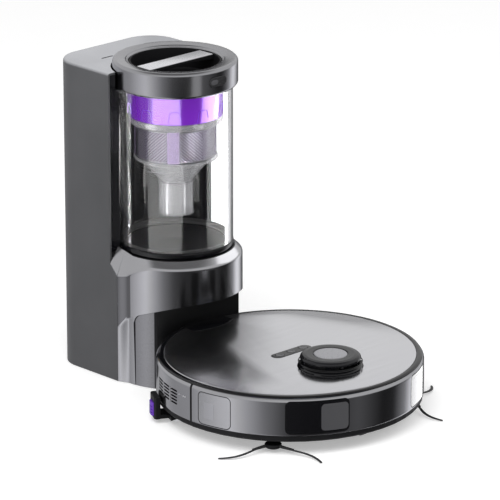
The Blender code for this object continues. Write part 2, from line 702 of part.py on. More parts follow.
def make_side_brushes(parent):
    """Three drooping bristle arms round a hub, mirrored from side to side."""
    hub_radius = 11.0
    for side, hand in ((-1, "left"), (1, "right")):
        hub = spindle([(9, 5.2), (hub_radius, 6.5), (hub_radius, 10.6), (8, 11.4)], 18)
        part = add_part("side_brush_" + hand, hub, matt_black, parent, (side * BRUSH_X, BRUSH_Y, 0))
        for index in range(3):
            angle = radians(160 + 120 * index)
            rings = []
            for step in range(7):
                t = step / 6
                reach = 6 + (BRUSH_REACH - 6) * t
                curve = radians(9) * sin(pi * t)
                direction = Vector((-side * cos(angle + curve), sin(angle + curve), 0))
                across = Vector((-direction.y, direction.x, 0))
                half = 3.0 - 1.9 * t
                height = 9.0 - 7.6 * t ** 0.8
                middle = direction * reach
                thick = 1.4 - 0.5 * t
                rings.append([
                    middle + across * half + Vector((0, 0, height - thick)),
                    middle - across * half + Vector((0, 0, height - thick)),
                    middle - across * half * 0.6 + Vector((0, 0, height + thick)),
                    middle + across * half * 0.6 + Vector((0, 0, height + thick)),
                ])
            fuse(part, skin(rings, closed=False))


def make_mop(parent):
    """Mop bracket under the back, its pad, and the two violet clips that let it go."""
    def segment(radius, front, steps=24):
        edge = degrees(asin(front / radius))
        return arc(radius, edge, 180 - edge, steps)

    bracket = add_part("mop_bracket", prism(segment(166, 62), 6.2, CLEARANCE_UNDER - GAP), matt_black, parent)
    pad = prism(segment(158, 68, 20), 2.4, 5.9)
    add_part("mop_pad", pad, microfibre, parent)
    for angle, hand in ((CLIP_ANGLE, "left"), (180 - CLIP_ANGLE, "right")):
        ear = prism([(-13, 150), (13, 150), (13, 180), (-13, 180)], 6.6, 11.3)
        outline = [(-14, 176.4), (14, 176.4), (14, 182), (11, 184.2), (-11, 184.2), (-14, 182)]
        upright = prism(outline, 6.4, 36)
        for shape in (ear, upright):
            fuse(bracket, turned_about_z(shape, angle - 90))
        pocket = box((-9, 178.6, 8.6), (9, 195, 28.4))
        cut(bracket, turned_about_z(pocket, angle - 90))
        clip = [(-8.4, -3.2), (8.4, -3.2), (8.4, 1.2), (5, 3), (-5, 3), (-8.4, 1.2)]
        shape = turned_about_z(prism(clip, 9.2, 27.8), angle - 90)
        reach = 184.6
        at = (reach * cos(radians(angle)), reach * sin(radians(angle)), 0)
        add_part("mop_clip_" + hand, shape, violet_gloss, parent, at)


def make_robot_inside(parent):
    add_part("battery", box((-60, -20, 0), (60, 20, 30)), battery_blue, parent,
             (0, -66, FLOOR_PLATE_TOP + 0.6))
    fan = spindle([(27, 0), (27, 24), (20, 30), (12, 30.5)], 28)
    add_part("suction_fan", fan, dark_grey, parent, (100, 88, FLOOR_PLATE_TOP + 0.6))


clear_scene()

charcoal = material("charcoal", (0.085, 0.086, 0.09), 0.42, 0.3)
gunmetal = material("gunmetal", (0.2, 0.2, 0.215), 0.26, 0.75)
gloss_black = material("gloss_black", (0.012, 0.012, 0.014), 0.12)
matt_black = material("matt_black", (0.02, 0.02, 0.022), 0.5)
dark_grey = material("dark_grey", (0.14, 0.14, 0.15), 0.35, 0.4)
lid_grey = material("lid_grey", (0.11, 0.11, 0.12), 0.3, 0.6)
handle_grey = material("handle_grey", (0.5, 0.5, 0.52), 0.3, 0.6)
clear = material("clear", (0.85, 0.87, 0.9), 0.05, 0.0, 0.25)
violet = material("violet", (0.32, 0.06, 0.62), 0.15, 0.0, 0.7)
violet_gloss = material("violet_gloss", (0.2, 0.05, 0.5), 0.2)
brush_violet = material("brush_violet", (0.14, 0.05, 0.32), 0.7)
screen_metal = material("screen_metal", (0.45, 0.45, 0.47), 0.35, 0.9)
brushed_silver = material("brushed_silver", (0.42, 0.42, 0.45), 0.3, 0.9)
smoke = material("smoke", (0.13, 0.13, 0.14), 0.15)
rubber = material("rubber", (0.025, 0.025, 0.025), 0.8)
brass = material("brass", (0.6, 0.45, 0.2), 0.3, 1.0)
microfibre = material("microfibre", (0.35, 0.35, 0.4), 0.95)
battery_blue = material("battery_blue", (0.03, 0.08, 0.25), 0.5)

dock = frame_empty("dock_frame", CANISTER_Y)
robot = frame_empty("robot_frame", ROBOT_Y)

make_tower(dock)
make_canister_bay(dock)
make_front_housing(dock)
make_shelf_underside(dock)
make_dock_bay(dock)
make_canister_seat(dock)
make_base(dock)
make_dock_inside(dock)
make_canister(dock)
make_cyclone(dock)

make_chassis(robot)
side_profile = make_shell(robot)
make_bumper(robot, side_profile)
make_top(robot)
make_dust_box(robot)
make_lidar(robot)
make_wheels(robot)
make_caster(robot)
make_roller(robot)
make_side_brushes(robot)
make_mop(robot)
make_robot_inside(robot)
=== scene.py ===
"""Looks for the docked robot vacuum: smooth visible skins, clear plastics, brushed metal, rubber and cloth.

Shapes are written in millimetres about two centres, the canister's axis and the cleaner's centre, and are
turned into metres when a piece is made. +Z is up, and the front faces -Y.
"""
import json
from math import asin, atan2, cos, degrees, pi, radians, sin, sqrt

import bmesh
import bpy
from mathutils import Matrix, Vector, noise


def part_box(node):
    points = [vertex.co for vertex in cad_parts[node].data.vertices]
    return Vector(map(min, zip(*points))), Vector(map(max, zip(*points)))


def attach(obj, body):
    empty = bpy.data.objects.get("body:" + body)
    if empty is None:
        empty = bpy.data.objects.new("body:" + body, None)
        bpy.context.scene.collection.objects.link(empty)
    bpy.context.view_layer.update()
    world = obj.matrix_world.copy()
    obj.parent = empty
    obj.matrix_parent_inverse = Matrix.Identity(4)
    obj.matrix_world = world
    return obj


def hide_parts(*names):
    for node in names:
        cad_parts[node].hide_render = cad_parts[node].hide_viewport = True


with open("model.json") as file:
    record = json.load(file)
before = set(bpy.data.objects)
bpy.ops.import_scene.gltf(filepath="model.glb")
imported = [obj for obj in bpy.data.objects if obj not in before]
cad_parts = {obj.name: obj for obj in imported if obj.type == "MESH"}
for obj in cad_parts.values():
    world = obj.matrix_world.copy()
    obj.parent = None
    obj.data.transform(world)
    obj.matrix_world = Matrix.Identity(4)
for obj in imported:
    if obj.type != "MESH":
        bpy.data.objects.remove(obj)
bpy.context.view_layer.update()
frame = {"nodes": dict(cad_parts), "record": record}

MM = 0.001
NODES = frame["nodes"]


def middle_of(node):
    low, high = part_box(node)
    return (low + high) / 2 / MM


def top_of(node):
    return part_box(node)[1].z / MM


# Centres and heights that the frame gives.
CANISTER = Vector((0, middle_of("canister_cup").y, 0))
ROBOT = Vector((0, middle_of("drive_wheel_left").y, 0))
LIDAR = Vector((0, middle_of("lidar_turret").y, 0))
DOCKED_DISTANCE = CANISTER.y - ROBOT.y
TOWER_HALF_WIDTH = (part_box("tower_shell")[1].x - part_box("tower_shell")[0].x) / 2 / MM
TOWER_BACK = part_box("tower_shell")[1].y / MM - CANISTER.y
TOWER_TOP = top_of("tower_shell")
LID_TOP = top_of("lid_ring")
LIDAR_TOP = top_of("lidar_cover")
DISC_TOP = top_of("top_disc")
ROBOT_RADIUS = (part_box("bumper")[1].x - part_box("bumper")[0].x) / 2 / MM
CENTRES = {"dock": CANISTER, "canister": CANISTER, "cyclone": CANISTER,
           "cleaner": ROBOT, "bumper_body": ROBOT, "turret": LIDAR}

# Shape of the dock, about the canister's axis.
GAP = 0.3
SKIRT = 0.8
TOWER_CORNER = 43.0
TOWER_WALL = 3.0
BAY_FRONT = 29.8
BAY_RADIUS = 79.2
SEAM_Y = 16.3
SHELF_RADIUS = 88.3
SHELF_EDGE = 168.0
SHELF_TOP = 177.4
HORN_TOP = 183.7
HORN_LOW = 147.8
HORN_SLOPE = 14.1 / 13.5
UNDERSIDE_FRONT = 119.5
UNDERSIDE_DROP = 26.4
LEG_FRONT = -10.9
LEG_INSET = 2.3
SHELF_WALL = 5.0
ARCH_CORNER = 9.0
BAY_WALL_RADIUS = 190.0
LID_RADIUS = 82.8
LID_HOLE = 61.0
LID_MIDDLE = 417.7
HANDLE_HALF_WIDTH = 13.5
HANDLE_CORE_LOW = 421.5
HANDLE_CORE_HIGH = 429.2
LOUVRE_LOW = 40.0
LOUVRE_HIGH = 104.0
INLET_X = 25.0
INLET_Z = 21.0
RIB_ANGLE = 224.0

# Shape of the cleaner, about its own centre.
DISC_RADIUS = 164.7
BUMPER_LOW = 27.5
BUMPER_HIGH = 77.3
SKIN = 2.8
LIDAR_RADIUS = 39.5
BRUSH_REACH = 78.0
BRUSH_AT = (123.0, -96.0)
CLIP_ANGLE = 150.0
CLIP_REACH = 184.6
PAD_RADIUS = 158.0
PAD_FRONT = 68.0
RIM_RADIUS = 172.0
PANEL_AT = Vector((1, -1.5, 0))
BUTTON_PITCH = 21.0
VENT_LOW = 41.5
VENT_ROW = 4.3
VENT_COLUMN = 6.8
LENS_ANGLE = 25.0


# ---------------------------------------------------------------- shapes


def skin(rings, closed=False):
    """Closed body through rings of equal length. Open runs of rings get a face on each end."""
    shape = bmesh.new()
    grid = [[shape.verts.new(point) for point in ring] for ring in rings]
    last = len(grid) if closed else len(grid) - 1
    for index in range(last):
        here = grid[index]
        there = grid[(index + 1) % len(grid)]
        for side in range(len(here)):
            after = (side + 1) % len(here)
            shape.faces.new((here[side], here[after], there[after], there[side]))
    if not closed:
        shape.faces.new(grid[0])
        shape.faces.new(list(reversed(grid[-1])))
    return shape


def rounded(corners, steps=5):
    """Outline with its corners rounded. Each corner is a point and how far back its curve starts."""
    outline = []
    for index, (point, back) in enumerate(corners):
        here = Vector(point)
        if back <= 0:
            outline.append(here)
            continue
        before = Vector(corners[index - 1][0]) - here
        after = Vector(corners[(index + 1) % len(corners)][0]) - here
        start = here + before.normalized() * min(back, before.length * 0.48)
        end = here + after.normalized() * min(back, after.length * 0.48)
        for t in shares(steps):
            outline.append(start * (1 - t) ** 2 + here * 2 * t * (1 - t) + end * t ** 2)
    return outline


def shares(count):
    """Even steps from 0 to 1."""
    return [step / count for step in range(count + 1)]


def prism(outline, low, high):
    return skin([[(p[0], p[1], z) for p in outline] for z in (low, high)])


def side_prism(outline, half_width):
    """Prism across the object, from an outline of (y, z) points."""
    return skin([[(x, y, z) for y, z in outline] for x in (-half_width, half_width)])


def front_prism(outline, front, back):
    """Prism along the object, from an outline of (x, z) points."""
    return skin([[(p[0], y, p[1]) for p in outline] for y in (front, back)])


def pad(outline, low, high, edge, steps=4):
    """Prism with its upper and lower edges rounded, by drawing the outline in towards its middle."""
    points = [Vector((p[0], p[1])) for p in outline]
    normals = []
    for index, point in enumerate(points):
        along = points[(index + 1) % len(points)] - points[index - 1]
        normals.append(Vector((along.y, -along.x)).normalized())
    area = sum(a.x * b.y - b.x * a.y for a, b in zip(points, points[1:] + points[:1]))
    turn = 1 if area > 0 else -1
    rings = []
    for base, sign in ((low, 1), (high, -1)):
        run = []
        for t in shares(steps):
            inset = edge * (1 - sin(pi / 2 * t))
            height = base + sign * edge * (1 - cos(pi / 2 * t))
            run.append([(*(p - n * turn * inset), height) for p, n in zip(points, normals)])
        rings += run if sign > 0 else list(reversed(run))
    return skin(rings)


def box(low, high):
    corners = ((low[0], low[1]), (high[0], low[1]), (high[0], high[1]), (low[0], high[1]))
    return prism(corners, low[2], high[2])


def wall(outer, inner, low, high, closed=False):
    """Upright wall between two runs of (x, y) points. low and high are heights, or functions of y."""
    bottom = low if callable(low) else lambda y: low
    top = high if callable(high) else lambda y: high
    rings = []
    for (ox, oy), (ix, iy) in zip(outer, inner):
        rings.append([(ox, oy, bottom(oy)), (ox, oy, top(oy)), (ix, iy, top(iy)), (ix, iy, bottom(iy))])
    return skin(rings, closed)


def arc(radius, start, end, steps, centre=(0.0, 0.0)):
    """Points on an arc, with angles in degrees from +X."""
    angles = [radians(start + (end - start) * t) for t in shares(steps)]
    return [(centre[0] + radius * cos(angle), centre[1] + radius * sin(angle)) for angle in angles]


def turned(profile, segments=144, start=0.0, sweep=360.0):
    """Turn a closed (radius, z) profile about the vertical. The profile stays off the axis."""
    whole = sweep >= 360.0
    count = segments if whole else segments + 1
    rings = []
    for index in range(count):
        angle = radians(start + sweep * index / segments)
        rings.append([(r * cos(angle), r * sin(angle), z) for r, z in profile])
    return skin(rings, closed=whole)


def spindle(profile, segments=96):
    """Turn a (radius, z) run about the vertical, closed by flat ends, given from the bottom up."""
    rings = []
    for radius, z in profile:
        rings.append([(x, y, z) for x, y in arc(radius, 0, 360 - 360 / segments, segments - 1)])
    return skin(rings)


def capsule(width, height, radius, steps=6):
    points = []
    for quarter, (sx, sy) in enumerate(((1, 1), (-1, 1), (-1, -1), (1, -1))):
        centre = (sx * (width / 2 - radius), sy * (height / 2 - radius))
        points += arc(radius, 90 * quarter, 90 * quarter + 90, steps, centre)
    return points


def tube(route, radius, sides=8, closed=False):
    """Solid round bar along a route. radius is a number, or a list with one for each point."""
    route = [Vector(point) for point in route]
    count = len(route)
    sizes = radius if isinstance(radius, list) else [radius] * count
    rings = []
    over = None
    for index, point in enumerate(route):
        before = route[index - 1] if closed or index else point
        after = route[(index + 1) % count] if closed or index < count - 1 else point
        ahead = (after - before).normalized()
        if over is None:
            over = ahead.orthogonal()
        over = (over - ahead * over.dot(ahead)).normalized()
        across = ahead.cross(over)
        ring = []
        for side in range(sides):
            angle = 2 * pi * side / sides
            ring.append(point + sizes[index] * (cos(angle) * over + sin(angle) * across))
        rings.append(ring)
    return skin(rings, closed)


def bearing(angle, height=0.0):
    """Unit vector at a compass angle from +X and a height above the horizon, in degrees."""
    level = cos(radians(height))
    return Vector((cos(radians(angle)) * level, sin(radians(angle)) * level, sin(radians(height))))


def moved(shape, by):
    bmesh.ops.translate(shape, verts=shape.verts, vec=by)
    return shape


def spun(shape, angle, axis="Z"):
    turn = Matrix.Rotation(radians(angle), 3, axis)
    bmesh.ops.rotate(shape, verts=shape.verts, cent=(0, 0, 0), matrix=turn)
    return shape


def together(shapes):
    whole = bmesh.new()
    for shape in shapes:
        copies = {vertex: whole.verts.new(vertex.co) for vertex in shape.verts}
        for face in shape.faces:
            whole.faces.new([copies[vertex] for vertex in face.verts])
        shape.free()
    return whole


def curved_panel(middle, span, low, high, inner, outer, corner, grow=0.0, corner_steps=8,
                 radius=ROBOT_RADIUS):
    """Rounded rectangle wrapped on an upright cylinder. Angles are degrees from +X."""
    half = radians(span / 2) * radius + grow
    low -= grow
    high += grow
    flat = half - corner
    turns = [pi / 2 * t for t in shares(corner_steps)]
    ends = [(flat + corner * sin(turn), corner * (1 - cos(turn))) for turn in turns]
    steps = max(2, int(2 * flat / 4))
    run = [(-s, inset) for s, inset in reversed(ends)]
    run += [(-flat + 2 * flat * step / steps, 0.0) for step in range(1, steps)]
    run += ends
    rings = []
    for s, inset in run:
        angle = radians(middle) + s / radius
        inset = min(inset, (high - low) / 2 - 0.05)
        section = ((inner, low + inset), (outer, low + inset), (outer, high - inset), (inner, high - inset))
        rings.append([(r * cos(angle), r * sin(angle), z) for r, z in section])
    return skin(rings)


# ---------------------------------------------------------------- materials


def add_node(tree, kind, inputs=(), **fields):
    """New shader node. inputs maps a socket's name or index to its value, or to the output that feeds it."""
    made = tree.nodes.new(kind)
    for field, value in fields.items():
        setattr(made, field, value)
    for socket, value in dict(inputs).items():
        if isinstance(value, bpy.types.NodeSocket):
            tree.links.new(value, made.inputs[socket])
        else:
            made.inputs[socket].default_value = value
    return made


def new_material(name):
    made = bpy.data.materials.new(name)
    made.use_nodes = True
    return made, made.node_tree, made.node_tree.nodes["Principled BSDF"]


def look(name, colour, roughness, metallic=0.0, patch=16.0, vary=0.06, grain=900.0, bump=0.03,
         spread=0.04, stretch=(1.0, 1.0, 1.0), depth=0.0002, **sockets):
    """Moulded, painted or woven surface: broad colour drift, fine grain in the bump, uneven roughness."""
    made, tree, shader = new_material(name)
    shader.inputs["Metallic"].default_value = metallic
    for socket, value in sockets.items():
        shader.inputs[socket.replace("_", " ")].default_value = value
    place = add_node(tree, "ShaderNodeTexCoord")
    fit = add_node(tree, "ShaderNodeMapping", {"Vector": place.outputs["Object"], "Scale": stretch})
    across = fit.outputs["Vector"]
    broad = add_node(tree, "ShaderNodeTexNoise", {"Vector": across, "Scale": patch, "Detail": 3.0})
    fine = add_node(tree, "ShaderNodeTexNoise", {"Vector": across, "Scale": grain, "Detail": 2.0})
    ramp = add_node(tree, "ShaderNodeValToRGB", {"Fac": broad.outputs["Fac"]})
    for element, position, tone in zip(ramp.color_ramp.elements, (0.3, 0.7), (1 - vary, 1 + vary)):
        element.position = position
        element.color = (*[min(1.0, c * tone) for c in colour], 1.0)
    rough = add_node(tree, "ShaderNodeMapRange", {
        "Value": fine.outputs["Fac"], "From Min": 0.3, "From Max": 0.7,
        "To Min": max(0.0, roughness - spread), "To Max": roughness + spread})
    dents = add_node(tree, "ShaderNodeBump", {
        "Height": fine.outputs["Fac"], "Strength": bump, "Distance": depth})
    tree.links.new(ramp.outputs["Color"], shader.inputs["Base Color"])
    tree.links.new(rough.outputs["Result"], shader.inputs["Roughness"])
    tree.links.new(dents.outputs["Normal"], shader.inputs["Normal"])
    return made


def see_through(name, tint, facing, edge, roughness=0.03):
    """Thin clear plastic: it shows what is behind it, and its gloss grows towards its edges."""
    made, tree, shader = new_material(name)
    place = add_node(tree, "ShaderNodeTexCoord")
    smear = add_node(tree, "ShaderNodeTexNoise", {"Vector": place.outputs["Object"], "Scale": 25.0})
    rough = add_node(tree, "ShaderNodeMapRange", {
        "Value": smear.outputs["Fac"], "To Min": roughness, "To Max": roughness + 0.05})
    tree.links.new(rough.outputs["Result"], shader.inputs["Roughness"])
    shader.inputs["Base Color"].default_value = (*[0.35 + 0.6 * c for c in tint], 1.0)
    shader.inputs["Metallic"].default_value = 1.0
    clear = add_node(tree, "ShaderNodeBsdfTransparent", {"Color": (*tint, 1.0)})
    lean = add_node(tree, "ShaderNodeLayerWeight", {"Blend": 0.5})
    bend = add_node(tree, "ShaderNodeMapRange", {
        "Value": lean.outputs["Facing"], "From Min": 0.5, "From Max": 0.8,
        "To Min": facing, "To Max": edge}, interpolation_type="SMOOTHSTEP")
    mixed_surface(tree, bend.outputs["Result"], clear.outputs["BSDF"], shader.outputs["BSDF"])
    return made


def mixed_surface(tree, share, first, second):
    """Surface that goes from the first shader to the second as the share rises."""
    mix = add_node(tree, "ShaderNodeMixShader", {"Fac": share, 1: first, 2: second})
    tree.links.new(mix.outputs["Shader"], tree.nodes["Material Output"].inputs["Surface"])


def grooved(name, colour, roughness, metallic, pitch, bump):
    """Turned surface with fine concentric grooves about the piece's own axis."""
    made = look(name, colour, roughness, metallic, bump=0.0)
    tree = made.node_tree
    place = tree.nodes["Texture Coordinate"]
    rings = add_node(tree, "ShaderNodeTexWave", {
        "Vector": place.outputs["Object"], "Scale": 0.05 / pitch, "Distortion": 0.0},
        wave_type="RINGS", rings_direction="Z")
    dents = add_node(tree, "ShaderNodeBump", {
        "Height": rings.outputs["Fac"], "Strength": bump, "Distance": 0.0002})
    tree.links.new(dents.outputs["Normal"], tree.nodes["Principled BSDF"].inputs["Normal"])
    return made


LOOKS = {
    "charcoal": look("charcoal", (0.075, 0.076, 0.08), 0.4, 0.25, grain=1400, bump=0.06),
    "gunmetal": look("gunmetal", (0.48, 0.48, 0.5), 0.17, 1.0, grain=2600, bump=0.02, vary=0.03),
    "gloss_black": look("gloss_black", (0.004, 0.004, 0.005), 0.1, grain=300, bump=0.01),
    "matt_black": look("matt_black", (0.009, 0.009, 0.01), 0.5, grain=1500, bump=0.08,
                       Specular_IOR_Level=0.2),
    "dark_grey": look("dark_grey", (0.28, 0.28, 0.3), 0.33, 0.75, grain=2000, bump=0.03),
    "lid_grey": look("lid_grey", (0.42, 0.42, 0.44), 0.2, 1.0, grain=2400, bump=0.03, vary=0.03),
    "handle_grey": look("handle_grey", (0.86, 0.86, 0.89), 0.3, 0.6, grain=2400, bump=0.03),
    "clear": see_through("clear", (0.99, 0.99, 0.99), 0.008, 0.92),
    "violet": look("violet", (0.08, 0.0095, 0.215), 0.14, 0.3, grain=300, bump=0.002, Alpha=0.9),
    "violet_gloss": look("violet_gloss", (0.12, 0.03, 0.42), 0.18, grain=700, bump=0.02),
    "brush_violet": look("brush_violet", (0.1, 0.04, 0.25), 0.75, grain=1200, bump=0.3, vary=0.2),
    "screen_metal": look("screen_metal", (0.2, 0.185, 0.23), 0.3, 1.0, grain=1500, bump=0.05),
    "brushed_silver": look("brushed_silver", (0.8, 0.8, 0.83), 0.21, 1.0, patch=9, vary=0.02, grain=240,
                           bump=0.012, spread=0.02, stretch=(1.0, 30.0, 1.0)),
    "smoke": look("smoke", (0.16, 0.16, 0.17), 0.16, 0.6, grain=500, bump=0.01),
    "rubber": look("rubber", (0.02, 0.02, 0.021), 0.78, grain=1800, bump=0.2, vary=0.15),
    "brass": look("brass", (0.6, 0.42, 0.18), 0.25, 1.0, grain=900, bump=0.05),
    "microfibre": look("microfibre", (0.3, 0.31, 0.36), 0.95, grain=1500, bump=0.8, vary=0.18, depth=0.0006,
                       Sheen_Weight=0.5),
    "battery_blue": look("battery_blue", (0.02, 0.06, 0.2), 0.4, grain=400, bump=0.1),
}

# Looks of single pieces, where they differ from their slot.
METAL = {"metallic": 1.0, "grain": 2600, "bump": 0.02, "vary": 0.03}
LEG = look("leg_silver", (0.5, 0.5, 0.52), 0.24, **METAL)
# Darker copy of the housing metal for its upright side faces: painted shade, not a different finish.
SHADED_SIDE = look("side_metal_painted_shade", (0.2, 0.2, 0.21), 0.17, **METAL)
PANEL = look("bay_silver", (0.3, 0.3, 0.315), 0.28, **METAL)
BUTTON = look("lid_button_cap", (0.05, 0.05, 0.053), 0.25, 0.5, grain=1200, bump=0.02)
THICK = look("clear_thick", (0.4, 0.4, 0.415), 0.1, 0.2, grain=200, bump=0.01, Alpha=0.36)
RIB = look("screen_rib", (0.075, 0.056, 0.1), 0.25, 0.8, grain=1500, bump=0.02)
PLEATS = look("pleated_filter", (0.1, 0.085, 0.13), 0.6, grain=70, bump=0.6, stretch=(1, 1, 0.02),
              depth=0.002)
BODY = look("body_lacquer", (0.46, 0.46, 0.48), 0.14, 1.0, grain=2600, bump=0.015, vary=0.03, spread=0.03)
PANE = look("side_pane", (0.42, 0.42, 0.435), 0.12, 0.95, grain=900, bump=0.01)
LENS = look("sensor_lens", (0.075, 0.075, 0.08), 0.22, 0.2, grain=900, bump=0.01)
VINYL = grooved("vinyl_black", (0.016, 0.016, 0.018), 0.2, 0.3, 0.9 * MM, 0.35)
BADGE = grooved("badge_metal", (0.5, 0.5, 0.53), 0.3, 0.9, 0.35 * MM, 0.25)
BRISTLE = look("bristle", (0.03, 0.03, 0.032), 0.5, grain=900, bump=0.1, vary=0.3)

SLOTS = {part["node"]: part["material_slot"] for part in frame["record"]["subparts"]}
for node_name, node in NODES.items():
    node.data.materials.clear()
    node.data.materials.append(LOOKS[SLOTS[node_name]])


# ---------------------------------------------------------------- making a piece


def mesh_from(name, shape):
    bmesh.ops.scale(shape, vec=(MM, MM, MM), verts=shape.verts)
    bmesh.ops.recalc_face_normals(shape, faces=shape.faces)
    mesh = bpy.data.meshes.new(name)
    shape.to_mesh(mesh)
    shape.free()
    return mesh


def new_object(name, data):
    made = bpy.data.objects.new(name, data)
    bpy.context.scene.collection.objects.link(made)
    return made


def carve(target, shape):
    """Cut a shape out of a piece, and keep only the result."""
    tool = new_object("tool", mesh_from("tool", shape))
    tool.location = target.location
    step = target.modifiers.new("Carve", "BOOLEAN")
    step.operation = "DIFFERENCE"
    step.solver = "EXACT"
    step.object = tool
    graph = bpy.context.evaluated_depsgraph_get()
    target.data = bpy.data.meshes.new_from_object(target.evaluated_get(graph))
    target.modifiers.clear()
    bpy.data.objects.remove(tool)


def piece(name, shape, slot, body, hides=(), cuts=(), at=None, own=None, crease=40):
    """One visible piece, about its body's centre unless it says where it is at.

    It takes its slot's look, or its own, and stands for the CAD nodes it hides.
    """
    made = new_object(name, mesh_from(name, shape))
    made.location = (CENTRES[body] if at is None else at) * MM
    made.data.materials.append(own or LOOKS[slot])
    for cut in cuts:
        carve(made, cut)
    made.data.shade_smooth()
    made.data.set_sharp_from_angle(angle=radians(crease))
    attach(made, body)
    if hides:
        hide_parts(*hides)
    return made


# ---------------------------------------------------------------- dock


def underside(y):
    """Height of the shelf's sloping underside, which rises towards the front."""
    along = max(0.0, (y + SHELF_RADIUS) / SHELF_RADIUS)
    return UNDERSIDE_FRONT - UNDERSIDE_DROP * along ** 1.35


def arch_height(y):
    """Height of the shelf's lower edge, rounded down where it meets the leg."""
    into = min(ARCH_CORNER, max(0.0, LEG_FRONT - y))
    return underside(y) - ARCH_CORNER + sqrt(ARCH_CORNER ** 2 - (ARCH_CORNER - into) ** 2)


def tower_outline(inset, front, steps=24):
    """U shape of the tower, from the right front, round the back, to the left front."""
    side = TOWER_HALF_WIDTH - inset
    centre_x = TOWER_HALF_WIDTH - TOWER_CORNER
    centre_y = TOWER_BACK - TOWER_CORNER
    radius = TOWER_CORNER - inset
    right = arc(radius, 0, 90, steps, (centre_x, centre_y))
    left = arc(radius, 90, 180, steps, (-centre_x, centre_y))
    return [(side, front)] + right + left + [(-side, front)]


def bay_outline(leg_radius, wall_radius, rear, leg_steps, wall_steps):
    """Run from the left leg's rear, forward round the leg, across the concave wall, to the right leg."""
    meet_y = (wall_radius ** 2 - leg_radius ** 2 - DOCKED_DISTANCE ** 2) / (2 * DOCKED_DISTANCE)
    meet_x = sqrt(leg_radius ** 2 - meet_y ** 2)
    rear_angle = 180 + degrees(asin(-rear / leg_radius))
    tip_angle = 180 + degrees(atan2(-meet_y, meet_x))
    left = arc(leg_radius, rear_angle, tip_angle, leg_steps)
    spread = degrees(asin(meet_x / wall_radius))
    middle = arc(wall_radius, 90 + spread, 90 - spread, wall_steps, (0.0, -DOCKED_DISTANCE))
    right = [(-x, y) for x, y in reversed(left)]
    return left + middle[1:-1] + right


def build_tower():
    edge = 3.5
    rings = [[(x, y, SKIRT) for x, y in tower_outline(0, SEAM_Y + GAP)]]
    for t in shares(6):
        z = TOWER_TOP - edge + edge * sin(pi / 2 * t)
        rings.append([(x, y, z) for x, y in tower_outline(edge * (1 - cos(pi / 2 * t)), SEAM_Y + GAP)])
    shell = skin(rings)
    step = ((-30, 147.5), (SEAM_Y + GAP, 147.5), (BAY_FRONT, 161.9), (BAY_FRONT, 450), (-30, 450))
    openings = [
        box((-41, TOWER_BACK - 8, LOUVRE_LOW), (41, TOWER_BACK + 8, LOUVRE_HIGH)),
        box((INLET_X - 13, TOWER_BACK - 8, INLET_Z - 9), (INLET_X + 13, TOWER_BACK + 8, INLET_Z + 9)),
    ]
    slot = moved(prism(capsule(20, 3.4, 1.6), TOWER_TOP - 1, TOWER_TOP + 5), (-38, 91, 0))
    piece("tower_skin", shell, "charcoal", "dock", ["tower_shell"], [
        prism(tower_outline(TOWER_WALL, -20), -5, TOWER_TOP - TOWER_WALL),
        side_prism(step, 120),
        spindle([(LID_RADIUS + 2.0, 380), (LID_RADIUS + 2.0, 440)], 144),
        together(openings + [slot]),
    ])
    light = moved(prism(capsule(19, 2.6, 1.2), TOWER_TOP - 0.95, TOWER_TOP - 0.5), (-38, 91, 0))
    piece("status_light", light, "smoke", "dock")


def build_bay():
    """Concave black wall behind the canister, with a flat strip down each side."""
    side = TOWER_HALF_WIDTH - TOWER_WALL - GAP
    spans = (("canister_bay", BAY_RADIUS, 7.0, 178.0, 396.3),
             ("lid_collar", LID_RADIUS + 1.8, 3.0, 396.6, TOWER_TOP - TOWER_WALL - GAP))
    for node_name, radius, thickness, low, high in spans:
        runs = []
        for r, y in ((radius, BAY_FRONT + GAP), (radius + thickness, BAY_FRONT + GAP + 3.0)):
            start = degrees(asin(y / r))
            runs.append([(side, y)] + arc(r, start, 180 - start, 96) + [(-side, y)])
        port = [box((34, 60, 318), (56, 100, 352))] if node_name == "canister_bay" else []
        piece(node_name + "_skin", wall(runs[0], runs[1], low, high), "gloss_black", "dock",
              [node_name], port)


def shelf_stations():
    """Points of the D outline from the left horn, round the front, to the right horn."""
    side = TOWER_HALF_WIDTH - GAP
    rear = [(-side, BAY_FRONT - GAP - (BAY_FRONT - GAP - SEAM_Y) * t) for t in shares(6)]
    leg = degrees(asin(-LEG_FRONT / SHELF_RADIUS))
    left = arc(SHELF_RADIUS, 180, 180 + leg, 10)
    front = arc(SHELF_RADIUS, 180 + leg, 360 - leg, 110)
    right = [(-x, y) for x, y in reversed(left)]
    blend = [(-side + (side - SHELF_RADIUS) * t * t * (3 - 2 * t), SEAM_Y * (1 - t))
             for t in shares(8)[1:-1]]
    outline = [(x, y, "horn") for x, y in rear]
    outline += [(rear[-1][0], rear[-1][1] - 0.01, "leg")]
    outline += [(x, y, "leg") for x, y in blend + left]
    outline += [(x, y, "shelf") for x, y in front]
    outline += [(x, y, "leg") for x, y in right + [(-x, y) for x, y in reversed(blend)]]
    outline += [(-rear[-1][0], rear[-1][1] - 0.01, "leg")]
    outline += [(-x, y, "horn") for x, y in reversed(rear)]
    return outline


